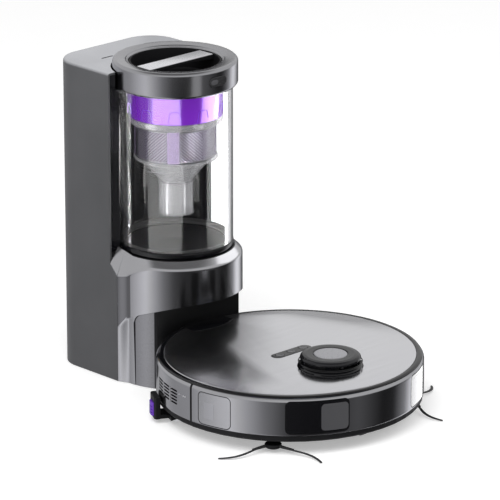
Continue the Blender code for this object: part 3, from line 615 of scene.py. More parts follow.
def build_front_housing():
    """Grey front skin: the shelf with its bevelled top, its two horns and a leg down each side."""
    lip_radius = SHELF_TOP - 99.4
    rings = []
    for x, y, zone in shelf_stations():
        hand = 1 if x > 0 else -1
        rear = min(1.0, max(0.0, y / SEAM_Y))
        reach = sqrt(x * x + y * y)
        lip = (x * lip_radius / reach, y * lip_radius / reach)
        lip_z = SHELF_TOP
        if y > 0:
            lip = (hand * (lip_radius - 1.1 * y / BAY_FRONT), y)
            lip_z = SHELF_TOP + (HORN_TOP - SHELF_TOP) * y / BAY_FRONT
        sweep = min(1.0, max(0.0, (y + 40) / 40))
        edge = SHELF_EDGE - 17.5 * sweep ** 1.5 - 3.0 * rear
        inset = LEG_INSET * (1.0 - rear)
        inner, leg = [(x - hand * by, y) if y > 0 else (x * (1 - by / reach), y * (1 - by / reach))
                      for by in (SHELF_WALL, inset)]
        notch = underside(min(y, 0.0)) - 0.5 - 20.0 * rear
        low = SKIRT
        if zone == "shelf":
            low = arch_height(y)
            notch = low + 0.6
            leg = (x, y)
        if zone == "horn":
            low = HORN_LOW + (y - SEAM_Y) * HORN_SLOPE
            notch = low + 0.4
            edge = max(edge, low + 1.0)
            leg = (x, y)
        step_low = max(low + 0.2, notch - 2.2)
        rings.append(rounded([
            ((*leg, low), 0.3),
            ((*leg, step_low), 0),
            ((x, y, notch), 0),
            ((x, y, notch + 0.06 * (edge - notch)), 0),
            ((x, y, notch + 0.9 * (edge - notch)), 0),
            ((x, y, edge), 3.0),
            ((*lip, lip_z), 1.2),
            ((*lip, lip_z - 3.0), 0),
            ((*inner, min(edge - 3.2, lip_z - 3.2)), 0),
            ((*inner, low), 0.3),
        ], 4))
    made = piece("front_housing_skin", skin(rings), "gunmetal", "dock",
                 ["front_housing"], crease=55)
    made.data.materials.append(LEG)
    made.data.materials.append(SHADED_SIDE)
    for face in made.data.polygons:
        y = face.center.y / MM
        below = face.center.z / MM < underside(min(y, 0.0)) - 0.6
        if LEG_FRONT - 0.5 < y < SEAM_Y and below:
            face.material_index = 1
        # Upright faces at the rear of the shelf and its horns take the darker metal copy: painted shade.
        elif y > -6 and not below and abs(face.normal.z) < 0.2:
            face.material_index = 2
    made.visible_glossy = False


def build_dock_bay():
    """Recess that the cleaner parks in, with its rounded legs."""
    outer = bay_outline(SHELF_RADIUS - LEG_INSET - 0.6, BAY_WALL_RADIUS, LEG_FRONT - GAP, 24, 60)
    inner = bay_outline(SHELF_RADIUS - LEG_INSET - 3.4, BAY_WALL_RADIUS + 2.6, LEG_FRONT - GAP, 24, 60)
    shape = wall(outer, inner, SKIRT, lambda y: arch_height(y) - 0.5)
    made = piece("dock_bay_skin", shape, "dark_grey", "dock", ["dock_bay"],
                 [box((-24, -60, 50), (24, 0, 66))], own=PANEL, crease=30)
    made.data.materials.append(LOOKS["matt_black"])
    pivot = Vector((0, -DOCKED_DISTANCE * MM, 0))
    # The middle and the concave back wall take matt black: partly a black back panel, partly painted shade
    # for the recess under the shelf.
    for face in made.data.polygons:
        flat = face.center - pivot
        flat.z = 0
        if abs(face.center.x) < 50 * MM or abs(flat.length - BAY_WALL_RADIUS * MM) < 3.5 * MM:
            face.material_index = 1


def build_dock_details():
    """Three pins and a rim in the power inlet."""
    for index in range(3):
        pin = front_prism(capsule(1.6, 4.6, 0.7, 3), -9, -2)
        z = INLET_Z - 0.6 + (1.4 if index == 1 else 0)
        at = CANISTER + Vector((INLET_X + 4.6 * (index - 1), TOWER_BACK - 0.2, z))
        piece(f"inlet_pin_{index + 1}", pin, "brass", "dock", at=at)
    rim = front_prism(capsule(27.6, 19.6, 2.4), -0.7, 0.0)
    hole = front_prism(capsule(19.6, 10.6, 1.6), -4, 4)
    at = CANISTER + Vector((INLET_X, TOWER_BACK, INLET_Z))
    piece("inlet_rim", rim, "matt_black", "dock", cuts=[hole], at=at)


# ---------------------------------------------------------------- canister


def build_canister():
    cup = rounded([((75.7, 186.2), 0.6), ((75.7, 398.6), 0.6), ((73.3, 398.6), 0.6), ((73.3, 186.2), 0.6)],
                  3)
    piece("cup_wall", turned(cup, 192), "clear", "canister", ["canister_cup"])
    ring = rounded([((66, 178.2), 0.4), ((75, 178.2), 1.0), ((76.2, 180), 1.0), ((76.2, 185), 0.8),
                    ((75, 186), 0.6), ((72, 186), 0.5), ((70, 183), 0.8), ((66, 183), 0.4)], 3)
    piece("cup_foot", turned(ring, 160), "gloss_black", "canister", ["canister_base"])
    flap = [(64.0, 178.2), (65.6, 179.0), (65.6, 182.2), (65.0, 182.8), (30, 183.4), (8, 184.6), (2, 185.0)]
    piece("cup_floor", spindle(flap, 128), "matt_black", "canister", ["canister_flap"])
    ledge = rounded([((66.2, 183.2), 0), ((72.8, 183.6), 0.4), ((72.8, 189.5), 1.0), ((71.5, 190), 0.6),
                     ((70.2, 185.4), 1.5), ((66.2, 184.6), 0)], 3)
    piece("cup_seal", turned(ledge, 128), "rubber", "canister")
    guide = curved_panel(96, 16, 196, 372, 66.5, 73.0, 5, radius=73)
    piece("cup_inlet_duct", guide, "gloss_black", "canister")
    for index, z in enumerate((238.0, 296.0), 1):
        lip = rounded([((72.2, z - 0.5), 0.2), ((73.2, z - 0.5), 0.2), ((73.2, z + 0.5), 0.2),
                       ((72.2, z + 0.5), 0.2)], 2)
        piece(f"cup_level_line_{index}", turned(lip, 40, 196, 34), "clear", "canister")


def build_lid():
    hole = LID_HOLE
    profile = rounded([
        ((LID_RADIUS - 2.6, 398.9), 0.4), ((LID_RADIUS, 402), 1.4), ((LID_RADIUS, LID_TOP - 3.2), 1.6),
        ((LID_RADIUS - 3, LID_TOP), 1.6), ((hole + 4.6, LID_TOP - 1.6), 0.4),
        ((hole + 3.8, LID_TOP - 2.6), 0.4), ((hole + 0.6, LID_TOP - 3.0), 0.8), ((hole, LID_TOP - 4.2), 0.8),
        ((hole, 400), 0.4),
    ], 4)
    pocket = moved(front_prism(capsule(31.0, 14.2, 7.0, 10), -14, 6.3), (0, -LID_RADIUS, LID_MIDDLE))
    piece("lid_band", turned(profile, 192), "lid_grey", "cyclone", ["lid_ring"], [pocket])
    recess = [(hole - 1.2, 399.5), (hole - 0.4, 400.3), (hole - 0.4, 430), (hole - 1.6, 430.4),
              (hole - 2.4, 430), (hole - 2.4, 404), (hole - 4.4, 402), (20, 402), (19, 403.2), (2, 403.2)]
    piece("lid_well", spindle(recess, 160), "matt_black", "cyclone", ["lid_recess"])
    half = HANDLE_HALF_WIDTH
    reach = sqrt((hole - 2.8) ** 2 - half ** 2)
    section = rounded([((-half, HANDLE_CORE_LOW), 1.5), ((half, HANDLE_CORE_LOW), 1.5),
                       ((half, HANDLE_CORE_HIGH), 0.6), ((-half, HANDLE_CORE_HIGH), 0.6)], 4)
    rings = []
    for share in shares(24):
        t = -1 + 2 * share
        lift = 3.0 * max(0.0, 1 - abs(t) ** 4)
        rings.append([(reach * t, p[0], p[1] + (lift if p[1] < 425 else 0.0)) for p in section])
    piece("handle_core", skin(rings), "matt_black", "cyclone", ["handle_bar"])
    ends = reach - 0.5
    plan = rounded([((-ends, -12.6), 1), ((ends, -12.6), 1), ((ends, 12.6), 1), ((-ends, 12.6), 1)], 3)
    top = pad(plan, HANDLE_CORE_HIGH, HANDLE_CORE_HIGH + 0.7, 0.3, 3)
    piece("handle_plate", top, "handle_grey", "cyclone")
    at = CANISTER + Vector((0, -LID_RADIUS + 4.2, LID_MIDDLE))
    cap = spun(pad(capsule(29.8, 13, 6.4, 10), 0, 4.5, 0.8), 90, "X")
    piece("release_button_cap", cap, "gloss_black", "lid_button", ["release_button"], at=at, own=BUTTON)
    plate = moved(spun(pad(capsule(12, 6.4, 3.1, 6), 0, 0.5, 0.2, 2), 90, "X"), (-7, -4.45, 0))
    piece("release_button_mark", plate, "smoke", "lid_button", at=at)


def build_filter():
    """Violet ring with its tab lines, clear flange, perforated screen and clear funnel."""
    ring = rounded([((61.0, 358.4), 0.4), ((63.5, 358.4), 0.8), ((63.5, 398.3), 0.4), ((61.0, 398.3), 0.4)],
                   3)
    piece("violet_ring", turned(ring, 160), "violet", "cyclone", ["filter_ring"])
    tabs = 10
    route = ((0.06, 361), (0.13, 374.4), (0.17, 376), (0.4, 376), (0.44, 374.4), (0.51, 361))
    for index in range(tabs):
        path = []
        for (s0, z0), (s1, z1) in zip(route, route[1:]):
            for step in range(4):
                t = step / 4
                angle = radians(360 / tabs * (index + s0 + (s1 - s0) * t))
                path.append((63.6 * cos(angle), 63.6 * sin(angle), z0 + (z1 - z0) * t))
        piece(f"ring_tab_{index + 1}", tube(path, 0.4, 6), "violet_gloss", "cyclone")
    flange = rounded([((50, 346.8), 0.3), ((58, 346.8), 2.0), ((62.5, 350), 1.5), ((62.5, 357.6), 1.4),
                      ((60.4, 358.2), 0.5), ((50, 357.0), 0.3)], 4)
    piece("flange_rim", turned(flange, 144), "clear", "cyclone", ["core_flange"], own=THICK)
    build_screen()
    funnel = rounded([
        ((46.5, 296), 0.8), ((54.5, 298), 1.2), ((54.5, 301.8), 0.8), ((47, 301.8), 1.0), ((20.5, 269), 2.0),
        ((20.5, 222), 0.4), ((22.9, 222), 0.6), ((22.9, 268.0), 2.0),
    ], 4)
    piece("funnel_cone", turned(funnel, 144), "clear", "cyclone", ["core_funnel"], own=THICK)
    for index, (z, radius) in enumerate(((222.8, 23.6), (266.0, 24.0), (299.8, 55.2)), 1):
        bead = [(radius + 0.9 * cos(a), z + 0.9 * sin(a)) for a in (2 * pi * k / 10 for k in range(10))]
        piece(f"funnel_bead_{index}", turned(bead, 96), "clear", "cyclone", own=THICK)
    outlet = rounded([((15.6, 226), 0.3), ((17.0, 226), 0.3), ((17.0, 300), 0.3), ((15.6, 300), 0.3)], 2)
    piece("outlet_tube", turned(outlet, 96), "clear", "cyclone", own=THICK)


def build_screen():
    """Steel cylinder with slanted slots, mirrored about its four plain ribs, round a pleated core."""
    radius = 53.0
    low = 303.8
    high = 345.0
    slope = 0.9
    pitch = 4.2
    half_sector = radians(45) * radius
    bars = []
    for sector in range(8):
        rib = RIB_ANGLE + 90 * (sector // 2)
        side = 1 if sector % 2 else -1
        for index in range(-9, 10):
            foot = low + index * pitch
            start = max(0.0, (low - foot) / slope)
            end = min(half_sector, (high - foot) / slope)
            if end - start < 2.0:
                continue
            path = []
            for t in shares(8):
                s = start + (end - start) * t
                angle = radians(rib) + side * (half_sector - s) / radius
                path.append((radius * cos(angle), radius * sin(angle), foot + s * slope))
            bars.append(tube(path, 0.85, 6))
    piece("screen_bars", together(bars), "screen_metal", "cyclone", ["mesh_screen"])
    for index, (z0, z1) in enumerate(((302.0, 304.6), (344.2, 346.6)), 1):
        hoop = rounded([((51.6, z0), 0.2), ((53.8, z0), 0.4), ((53.8, z1), 0.4), ((51.6, z1), 0.2)], 3)
        piece(f"screen_hoop_{index}", turned(hoop, 128), "dark_grey", "cyclone")
    for index in range(4):
        rib = curved_panel(RIB_ANGLE + 90 * index, 17, 303, 346, 51.4, 54.0, 0.8, radius=53)
        piece(f"screen_rib_{index + 1}", rib, "screen_metal", "cyclone", own=RIB)
    core = [(30, 303), (49.4, 303), (49.4, 346), (30, 346)]
    piece("filter_core", turned(core, 96), "violet_gloss", "cyclone", own=PLEATS)


# ---------------------------------------------------------------- cleaner


def build_sides():
    """Glossy side wall: the rear shell with its vents and the bumper with its four windows."""
    inner = ROBOT_RADIUS - SKIN
    profile = rounded([
        ((inner, BUMPER_LOW), 0.2), ((ROBOT_RADIUS - 0.6, BUMPER_LOW), 0.8),
        ((ROBOT_RADIUS, BUMPER_LOW + 1.5), 1.2), ((ROBOT_RADIUS, BUMPER_HIGH - 3.2), 2.4),
        ((ROBOT_RADIUS - 2.4, BUMPER_HIGH), 1.6), ((inner, BUMPER_HIGH), 0.2),
    ], 4)
    seam = degrees(3.6 / ROBOT_RADIUS)
    beyond = ROBOT_RADIUS + 3
    openings = [curved_panel(90, 15, 52, 64, inner - 3, beyond, 4)]
    for middle in (20, 160):
        for row in range(5):
            low = VENT_LOW + VENT_ROW * row
            for column in (-1, 0, 1):
                openings.append(curved_panel(middle + VENT_COLUMN * column, 6.1, low, low + 2.5, inner - 3,
                                             beyond, 1.15, corner_steps=4))
    piece("rear_skin", turned(profile, 150, seam, 180 - 2 * seam), "gunmetal", "cleaner",
          ["rear_shell"], [together(openings)], own=BODY)
    windows = (
        ("side_window_left", -90 - 78, 16, 30, 72, 6),
        ("side_window_right", -90 + 78, 16, 30, 72, 6),
        ("sensor_window_left", -90 - 32.4, 27, 31, 73.5, 6),
        ("sensor_window_right", -90 + 32.4, 27, 31, 73.5, 6),
    )
    holes = []
    for node_name, middle, span, low, high, corner in windows:
        holes.append(curved_panel(middle, span, low, high, inner - 3, beyond, corner + 1.0, grow=1.1))
    piece("bumper_skin", turned(profile, 150, 180, 180), "gunmetal", "bumper_body", ["bumper"],
          [together(holes)], own=BODY)
    for node_name, middle, span, low, high, corner in windows:
        slot = SLOTS[node_name]
        pane = curved_panel(middle, span, low, high, inner + 0.2, ROBOT_RADIUS - 0.1, corner)
        own = PANE if slot == "smoke" else LOOKS["gloss_black"]
        gasket = curved_panel(middle, span, low, high, inner - 0.8, ROBOT_RADIUS - 1.0, corner + 1.4,
                              grow=1.5)
        piece(node_name + "_gasket", gasket, "matt_black", "bumper_body")
        piece(node_name + "_pane", pane, slot, "bumper_body", [node_name], own=own)
    for hand, sign in (("left", -1), ("right", 1)):
        lens = curved_panel(-90 + sign * LENS_ANGLE, 12, 33.5, 69.5, ROBOT_RADIUS - 0.4, ROBOT_RADIUS, 5.4)
        piece(f"sensor_lens_{hand}", lens, "smoke", "bumper_body", own=LENS)
        inset = curved_panel(-90 + sign * 80.6, 5.2, 38, 60, ROBOT_RADIUS - 0.4, ROBOT_RADIUS, 0.9)
        piece(f"side_sensor_{hand}", inset, "smoke", "bumper_body", own=BODY)
        mark = curved_panel(-90 + sign * 96.4, 4.6, 56.8, 58.4, ROBOT_RADIUS - 0.5, ROBOT_RADIUS, 0.75,
                            corner_steps=4)
        piece(f"side_mark_{hand}", mark, "handle_grey", "cleaner")


def dust_lip(grow):
    """Outline of the dust box's lip at the back of the top face."""
    front = arc(75, -118, -62, 24, (0, 211.5 - grow))
    half = front[-1][0] + grow
    return [(-half, 180), (-half, front[0][1])] + front[1:-1] + [(half, front[-1][1]), (half, 180)]


def build_top():
    """Brushed disc and its black rim, and the button panel with its three caps.

    The disc's underside is matt black as painted shade, so that the wheel wells under it stay dark.
    """
    low = BUMPER_HIGH + 0.4
    disc = [(DISC_RADIUS - 0.6, low), (DISC_RADIUS, low + 0.3), (DISC_RADIUS, DISC_TOP - 1.0),
            (DISC_RADIUS - 0.3, DISC_TOP - 0.4), (DISC_RADIUS - 1.2, DISC_TOP)]
    cuts = [
        moved(spindle([(42.9, 70), (42.9, 90)], 128), (0, LIDAR.y - ROBOT.y, 0)),
        moved(prism(capsule(66.8, 17.8, 8.8, 10), 70, 90), PANEL_AT),
        prism(dust_lip(0.5), 70, 90),
    ]
    plate = piece("top_plate", spindle(disc, 192), "brushed_silver", "cleaner", ["top_disc"], cuts)
    # Downward faces of the disc take matt black: painted shade over the wheel wells.
    plate.data.materials.append(LOOKS["matt_black"])
    for face in plate.data.polygons:
        if face.normal.z < -0.5:
            face.material_index = 1
    inside = DISC_RADIUS + 0.5
    rim = rounded([((inside, low), 0), ((RIM_RADIUS, low), 0.3), ((RIM_RADIUS, 78.4), 0.6),
                   ((RIM_RADIUS - 2.6, DISC_TOP), 1.6), ((inside, DISC_TOP - 0.2), 0.4)], 4)
    piece("rim_band", turned(rim, 192), "gloss_black", "cleaner", ["top_rim"],
          [prism(dust_lip(0.5), 70, 90)])
    panel = pad(capsule(66, 17, 8.4, 12), 78, DISC_TOP + 0.3, 0.4, 3)
    at = ROBOT + PANEL_AT
    holes = [moved(spindle([(6.4, 70), (6.4, 90)], 48), (BUTTON_PITCH * (i - 1), 0, 0)) for i in range(3)]
    piece("button_plate", panel, "gloss_black", "cleaner", ["button_panel"], [together(holes)], at)
    for index, node_name in enumerate(("home_button", "power_button", "spot_button")):
        cap = [(5.9, 78.4), (5.95, 80.2), (5.6, 80.6), (4.6, 80.75), (3.2, 80.4), (1.0, 80.3)]
        body = "button_" + node_name.split("_")[0]
        place = at + Vector((BUTTON_PITCH * (index - 1), 0, 0))
        piece(node_name + "_cap", spindle(cap, 48), "smoke", body, [node_name], at=place, own=LENS)


def build_dust_lip():
    """Glossy lip of the dust box, in the notch at the back of the disc. The box itself stays as it is."""
    radius = RIM_RADIUS - 0.8
    outline = [(x, min(y, sqrt(radius ** 2 - x * x))) for x, y in dust_lip(-0.2)][1:-1]
    limit = degrees(asin(outline[-1][0] / radius))
    outline += arc(radius, 90 - limit, 90 + limit, 24)
    lip = pad(outline, DISC_TOP - 0.6, DISC_TOP + 0.1, 0.3, 2)
    piece("dust_box_lip", lip, "gloss_black", "cleaner")


def build_lidar():
    """Fixed cover with posts round an open band, a wire hoop, a light badge plate and the spinning turret."""
    radius = LIDAR_RADIUS
    cap = rounded([
        ((34.6, 90.0), 0.4), ((radius - 0.4, 90.0), 0.6), ((radius, 91), 0.6),
        ((radius, LIDAR_TOP - 3.0), 1.6), ((radius - 2.6, LIDAR_TOP - 0.6), 1.4),
        ((radius - 7, LIDAR_TOP), 0.8), ((23.0, LIDAR_TOP), 0.4), ((22.4, LIDAR_TOP - 0.9), 0.3),
        ((3.0, LIDAR_TOP - 0.9), 0), ((3.0, 93.2), 0), ((34.6, 93.2), 0.4),
    ], 4)
    piece("lidar_cap", turned(cap, 160), "gloss_black", "cleaner", ["lidar_cover"], at=LIDAR, own=VINYL)
    base = rounded([((35.4, 78.2), 0.2), ((42.3, 78.2), 0.2), ((42.3, 81.6), 0.8), ((radius, 83.6), 0.8),
                    ((radius - 0.4, 84.8), 0.4), ((35.4, 84.8), 0.4)], 3)
    piece("lidar_foot", turned(base, 144), "gloss_black", "cleaner", at=LIDAR)
    for index in range(4):
        post = curved_panel(45 + 90 * index, 16, 84.4, 90.6, radius - 4, radius - 0.8, 0.6, radius=radius)
        piece(f"lidar_post_{index + 1}", post, "gloss_black", "cleaner", at=LIDAR)
    hoop = [(41.3 * cos(a), 41.3 * sin(a), 86.6) for a in (2 * pi * k / 96 for k in range(96))]
    piece("lidar_guard_hoop", tube(hoop, 0.75, 8, closed=True), "gloss_black", "cleaner", at=LIDAR)
    for index in range(4):
        angle = radians(45 + 90 * index)
        route = [(r * cos(angle), r * sin(angle), 86.6) for r in (38.0, 41.2)]
        piece(f"lidar_guard_stub_{index + 1}", tube(route, 0.9, 8), "gloss_black", "cleaner", at=LIDAR)
    plate = [(21.6, LIDAR_TOP - 1.0), (21.8, LIDAR_TOP - 0.5), (21.2, LIDAR_TOP - 0.15),
             (19, LIDAR_TOP - 0.05), (2, LIDAR_TOP - 0.05)]
    piece("lidar_badge", spindle(plate, 96), "handle_grey", "cleaner", at=LIDAR, own=BADGE)
    turret = [(30, 72), (30, 80), (33, 80.6), (33.4, 82), (33.4, 90.6), (32.6, 91.8), (10, 92.2)]
    slit = box((-14, -40, 83.4), (14, -26, 88.6))
    piece("turret_drum", spindle(turret, 128), "matt_black", "turret", ["lidar_turret"], [slit])
    for side, hand in ((-1, "left"), (1, "right")):
        eye = spun(spindle([(2.6, 0), (2.6, 2.6), (1.8, 3.2), (0.6, 3.5)], 32), 90, "X")
        piece("turret_eye_" + hand, moved(eye, (side * 7, -26.5, 86)), "smoke", "turret")


def build_wheels():
    """Tyres with slanted tread blocks round a dark hub."""
    for side, hand in ((-1, "left"), (1, "right")):
        at = middle_of("drive_wheel_" + hand)
        lobes = 26
        rings = []
        for t in shares(8):
            x = -8 + 16 * t
            crown = 34.8 - 1.6 * abs(2 * t - 1) ** 4
            ring = []
            for index in range(lobes * 6):
                phase = (index % 6) / 6
                groove = 1.5 if phase < 0.34 and 0.1 < t < 0.9 else 0.0
                angle = 2 * pi * index / (lobes * 6) + 0.16 * abs(2 * t - 1)
                ring.append((x, (crown - groove) * cos(angle), (crown - groove) * sin(angle)))
            rings.append(ring)
        piece("tyre_" + hand, skin(rings), "rubber", "wheel_" + hand,
              ["drive_wheel_" + hand], at=at, crease=25)
        hub = spindle([(25, 7.6), (24, 8.0), (23, 8.0), (22, 7.9), (9, 7.9), (8, 8.0), (3, 8.0)], 64)
        piece("hub_" + hand, spun(hub, 90 * side, "Y"), "matt_black", "wheel_" + hand, at=at)


def build_roller():
    """Main brush with eight helical rows of bristles that meet in a V at the middle."""
    at = middle_of("main_brush")
    rings = []
    rows = 8
    row = ((-5, 19.6), (0, 19.9), (5, 19.6), (9, 14.6), (20, 14.0), (33, 14.0), (38, 14.6))
    for t in shares(64):
        x = -80 + 160 * t
        turn = 50 * abs(x) / 80
        ring = []
        for index in range(rows):
            start = 360 / rows * index + turn
            for offset, radius in row:
                angle = radians(start + offset)
                fray = 0.3 * noise.noise(Vector((x * 0.6, index * 7.0, offset)))
                ring.append((x, (radius + fray - 0.3) * cos(angle), (radius + fray - 0.3) * sin(angle)))
        rings.append(ring)
    piece("bristle_roller", skin(rings), "brush_violet", "roller", ["main_brush"], at=at)


def build_side_brushes():
    """Three tufts of curved bristles on short rubber sleeves, round a domed hub."""
    for side, hand in ((-1, "left"), (1, "right")):
        node_name = "side_brush_" + hand
        at = ROBOT + Vector((side * BRUSH_AT[0], BRUSH_AT[1], 0))
        body = "brush_" + hand
        hub = [(8.6, 5.2), (9.4, 5.6), (11, 7.0), (11, 10.2), (10.4, 11.0), (8, 11.4), (2, 11.5)]
        piece("brush_hub_" + hand, spindle(hub, 48), "matt_black", body, [node_name], at=at)
        for index in range(3):
            angle = radians(160 + 120 * index)
            strands = []
            for strand in range(13):
                spread = (strand - 6) / 6
                layer = (strand * 5) % 3 - 1
                path = []
                for t in shares(12):
                    reach = 15 + (BRUSH_REACH - 1.2 - 1.6 * abs(spread) - 15) * t
                    curve = angle + radians(9) * sin(pi * t) + spread * 0.03 * (1.4 - t) * (1 + 0.6 * t)
                    height = 9.0 - 7.4 * t ** 0.8 + 0.28 * layer * (1 - 0.3 * t)
                    path.append((-side * reach * cos(curve), reach * sin(curve), max(0.6, height)))
                strands.append(tube(path, [0.55 - 0.15 * t for t in shares(12)], 5))
            piece(f"bristles_{hand}_{index + 1}", together(strands), "matt_black", body, at=at, own=BRISTLE)
            sleeve = []
            sizes = []
            for t in shares(8):
                reach = 8 + 22 * t
                curve = angle + radians(9) * sin(pi * t * 0.42) * 0.6
                sleeve.append((-side * reach * cos(curve), reach * sin(curve), 9.0 - 1.7 * t))
                sizes.append(2.3 - 0.7 * t)
            piece(f"brush_sleeve_{hand}_{index + 1}", tube(sleeve, sizes, 12), "rubber", body, at=at)


def build_mop():
    """Microfibre pad with a soft piled face and a bound edge, and the violet release clips."""
    edge = degrees(asin(PAD_FRONT / PAD_RADIUS))
    outline = [Vector(p) for p in arc(PAD_RADIUS, edge, 180 - edge, 60)]
    base = [Vector((PAD_RADIUS * cos(radians(edge)) * (1 - 2 * k / 40), PAD_FRONT)) for k in range(1, 40)]
    outline += reversed(base)
    centre = Vector((0, 108.0))
    rings = []
    for share, z in ((0.985, 5.9), (1.0, 5.3), (1.0, 4.2), (0.992, 3.3), (0.975, 2.8), (0.95, 3.2),
                     (0.93, 2.7)):
        rings.append([(*(centre + (p - centre) * share), z) for p in outline])
    for step in range(1, 20):
        share = 0.93 * (1 - step / 20)
        ring = []
        for p in outline:
            point = centre + (p - centre) * share
            pile = 0.35 * noise.noise(Vector((point.x * 0.35, point.y * 0.35, 0)))
            ring.append((point.x, point.y, 2.8 + pile))
        rings.append(ring)
    made = piece("mop_cloth", skin(rings), "microfibre", "cleaner", ["mop_pad"])
    for angle, hand in ((CLIP_ANGLE, "left"), (180 - CLIP_ANGLE, "right")):
        at = ROBOT + CLIP_REACH * bearing(angle)
        plan = rounded([((-8.4, -3.2), 0.4), ((8.4, -3.2), 0.4), ((8.4, 0.8), 2.4), ((4.6, 2.8), 3.0),
                        ((-4.6, 2.8), 3.0), ((-8.4, 0.8), 2.4)], 5)
        block = pad(plan, 9.2, 27.8, 1.2, 4)
        grooves = [box((-12, 0.9, z), (12, 6, z + 1.2)) for z in (13.2, 17.2, 21.2)]
        shape = spun(block, angle - 90)
        cut = spun(together(grooves), angle - 90)
        piece("mop_clip_cap_" + hand, shape, "violet_gloss", "clip_" + hand, ["mop_clip_" + hand], [cut], at)


build_tower()
build_bay()
build_front_housing()
build_dock_bay()
build_dock_details()
build_canister()
build_lid()
build_filter()
build_sides()
build_top()
build_dust_lip()
build_lidar()
build_wheels()
build_roller()
build_side_brushes()
build_mop()


# ---------------------------------------------------------------- floor, light and camera


def make_floor():
    """Wide pale floor, kept out of reflections so that polished sides show the soft studio panels instead."""
    size = 30.0
    corners = [(x * size, y * size, 0) for x, y in ((-1, -1), (1, -1), (1, 1), (-1, 1))]
    mesh = bpy.data.meshes.new("floor")
    mesh.from_pydata(corners, [], [(0, 1, 2, 3)])
    floor = new_object("floor", mesh)
    mesh.materials.append(look("floor_paper", (0.9, 0.9, 0.9), 0.9, vary=0.004, grain=300, bump=0.0,
                               Specular_IOR_Level=0.0, Emission_Color=(1, 1, 1, 1), Emission_Strength=0.36))
    floor.visible_glossy = False


# Brightness of the studio panels below the horizon, by compass angle from +X in degrees.
PANELS = (
    (0, 1.35), (10, 0.8), (22, 0.12), (45, 0.2), (70, 0.45), (90, 0.55), (108, 0.42), (134, 0.46),
    (150, 0.68), (172, 1.0), (188, 0.62), (204, 0.28), (222, 0.09), (240, 0.04), (260, 0.04),
    (286, 0.12), (312, 0.02), (326, 0.03), (342, 0.34), (354, 1.25),
)
SKY = 0.7
OVERHEAD = 0.2

# Dark card, by compass angle from the cleaner's centre, in metres.
CARD_ANGLE = 46.2
CARD_DISTANCE = 0.42
CARD_WIDTH = 0.2
CARD_LOW = 0.08
CARD_HIGH = 0.5

# Camera, as seen from the point that it aims at. Angles in degrees, distance in metres.
CAMERA_AIM = ROBOT + Vector((0.8, 59.2, 208.2))
CAMERA_TURN = -43.8
CAMERA_LIFT = 18.2
CAMERA_DISTANCE = 5.6516
CAMERA_LENS = 312.3
CAMERA_SHIFT = (-0.018, -0.005)


def make_world():
    """Studio: panels below the horizon, a pale sky over them and a darker patch overhead."""
    world = bpy.data.worlds.new("studio")
    bpy.context.scene.world = world
    world.use_nodes = True
    tree = world.node_tree
    place = add_node(tree, "ShaderNodeTexCoord").outputs["Generated"]
    compass = add_node(tree, "ShaderNodeTexGradient", {"Vector": place}, gradient_type="RADIAL")
    ramp = add_node(tree, "ShaderNodeValToRGB", {"Fac": compass.outputs["Fac"]})
    stops = sorted((((angle + 180) % 360) / 360, level) for angle, level in PANELS)
    elements = ramp.color_ramp.elements
    seam_level = (stops[0][1] + stops[-1][1]) / 2
    for element in elements[0], elements[1]:
        element.color = (seam_level, seam_level, seam_level, 1.0)
    for position, level in stops:
        elements.new(position).color = (level, level, level * 1.03, 1.0)
    height = add_node(tree, "ShaderNodeSeparateXYZ", {"Vector": place}).outputs["Z"]
    shown = ramp.outputs["Color"]
    for start, end, level in ((-0.08, 0.12, SKY), (0.7, 0.93, OVERHEAD)):
        rise = add_node(tree, "ShaderNodeMapRange", {
            "Value": height, "From Min": start, "From Max": end}, interpolation_type="SMOOTHSTEP")
        mix = add_node(tree, "ShaderNodeMix", {
            "Factor": rise.outputs["Result"], 6: shown, 7: (level, level, level, 1.0)}, data_type="RGBA")
        shown = mix.outputs[2]
    tree.links.new(shown, tree.nodes["Background"].inputs["Color"])


def soft_light(name, direction, elevation, distance, size, power, aim, mirrored=True):
    """Soft rectangular lamp, by compass angle and height angle as seen from the point it aims at."""
    data = bpy.data.lights.new(name, "AREA")
    data.shape = "RECTANGLE"
    data.size = size[0]
    data.size_y = size[1]
    data.energy = power
    lamp = new_object(name, data)
    away = bearing(direction, elevation)
    lamp.location = Vector(aim) + away * distance
    lamp.rotation_euler = away.to_track_quat("Z", "Y").to_euler()
    lamp.visible_glossy = mirrored
    return lamp


def linked(lamp, receivers, blockers=()):
    """Keep a lamp to the pieces named, and let only the blockers shade them."""
    for names, role in ((receivers, "receiver_collection"), (blockers, "blocker_collection")):
        group = bpy.data.collections.new(lamp.name + "_" + role)
        for piece_name in names:
            group.objects.link(bpy.data.objects[piece_name])
        setattr(lamp.light_linking, role, group)


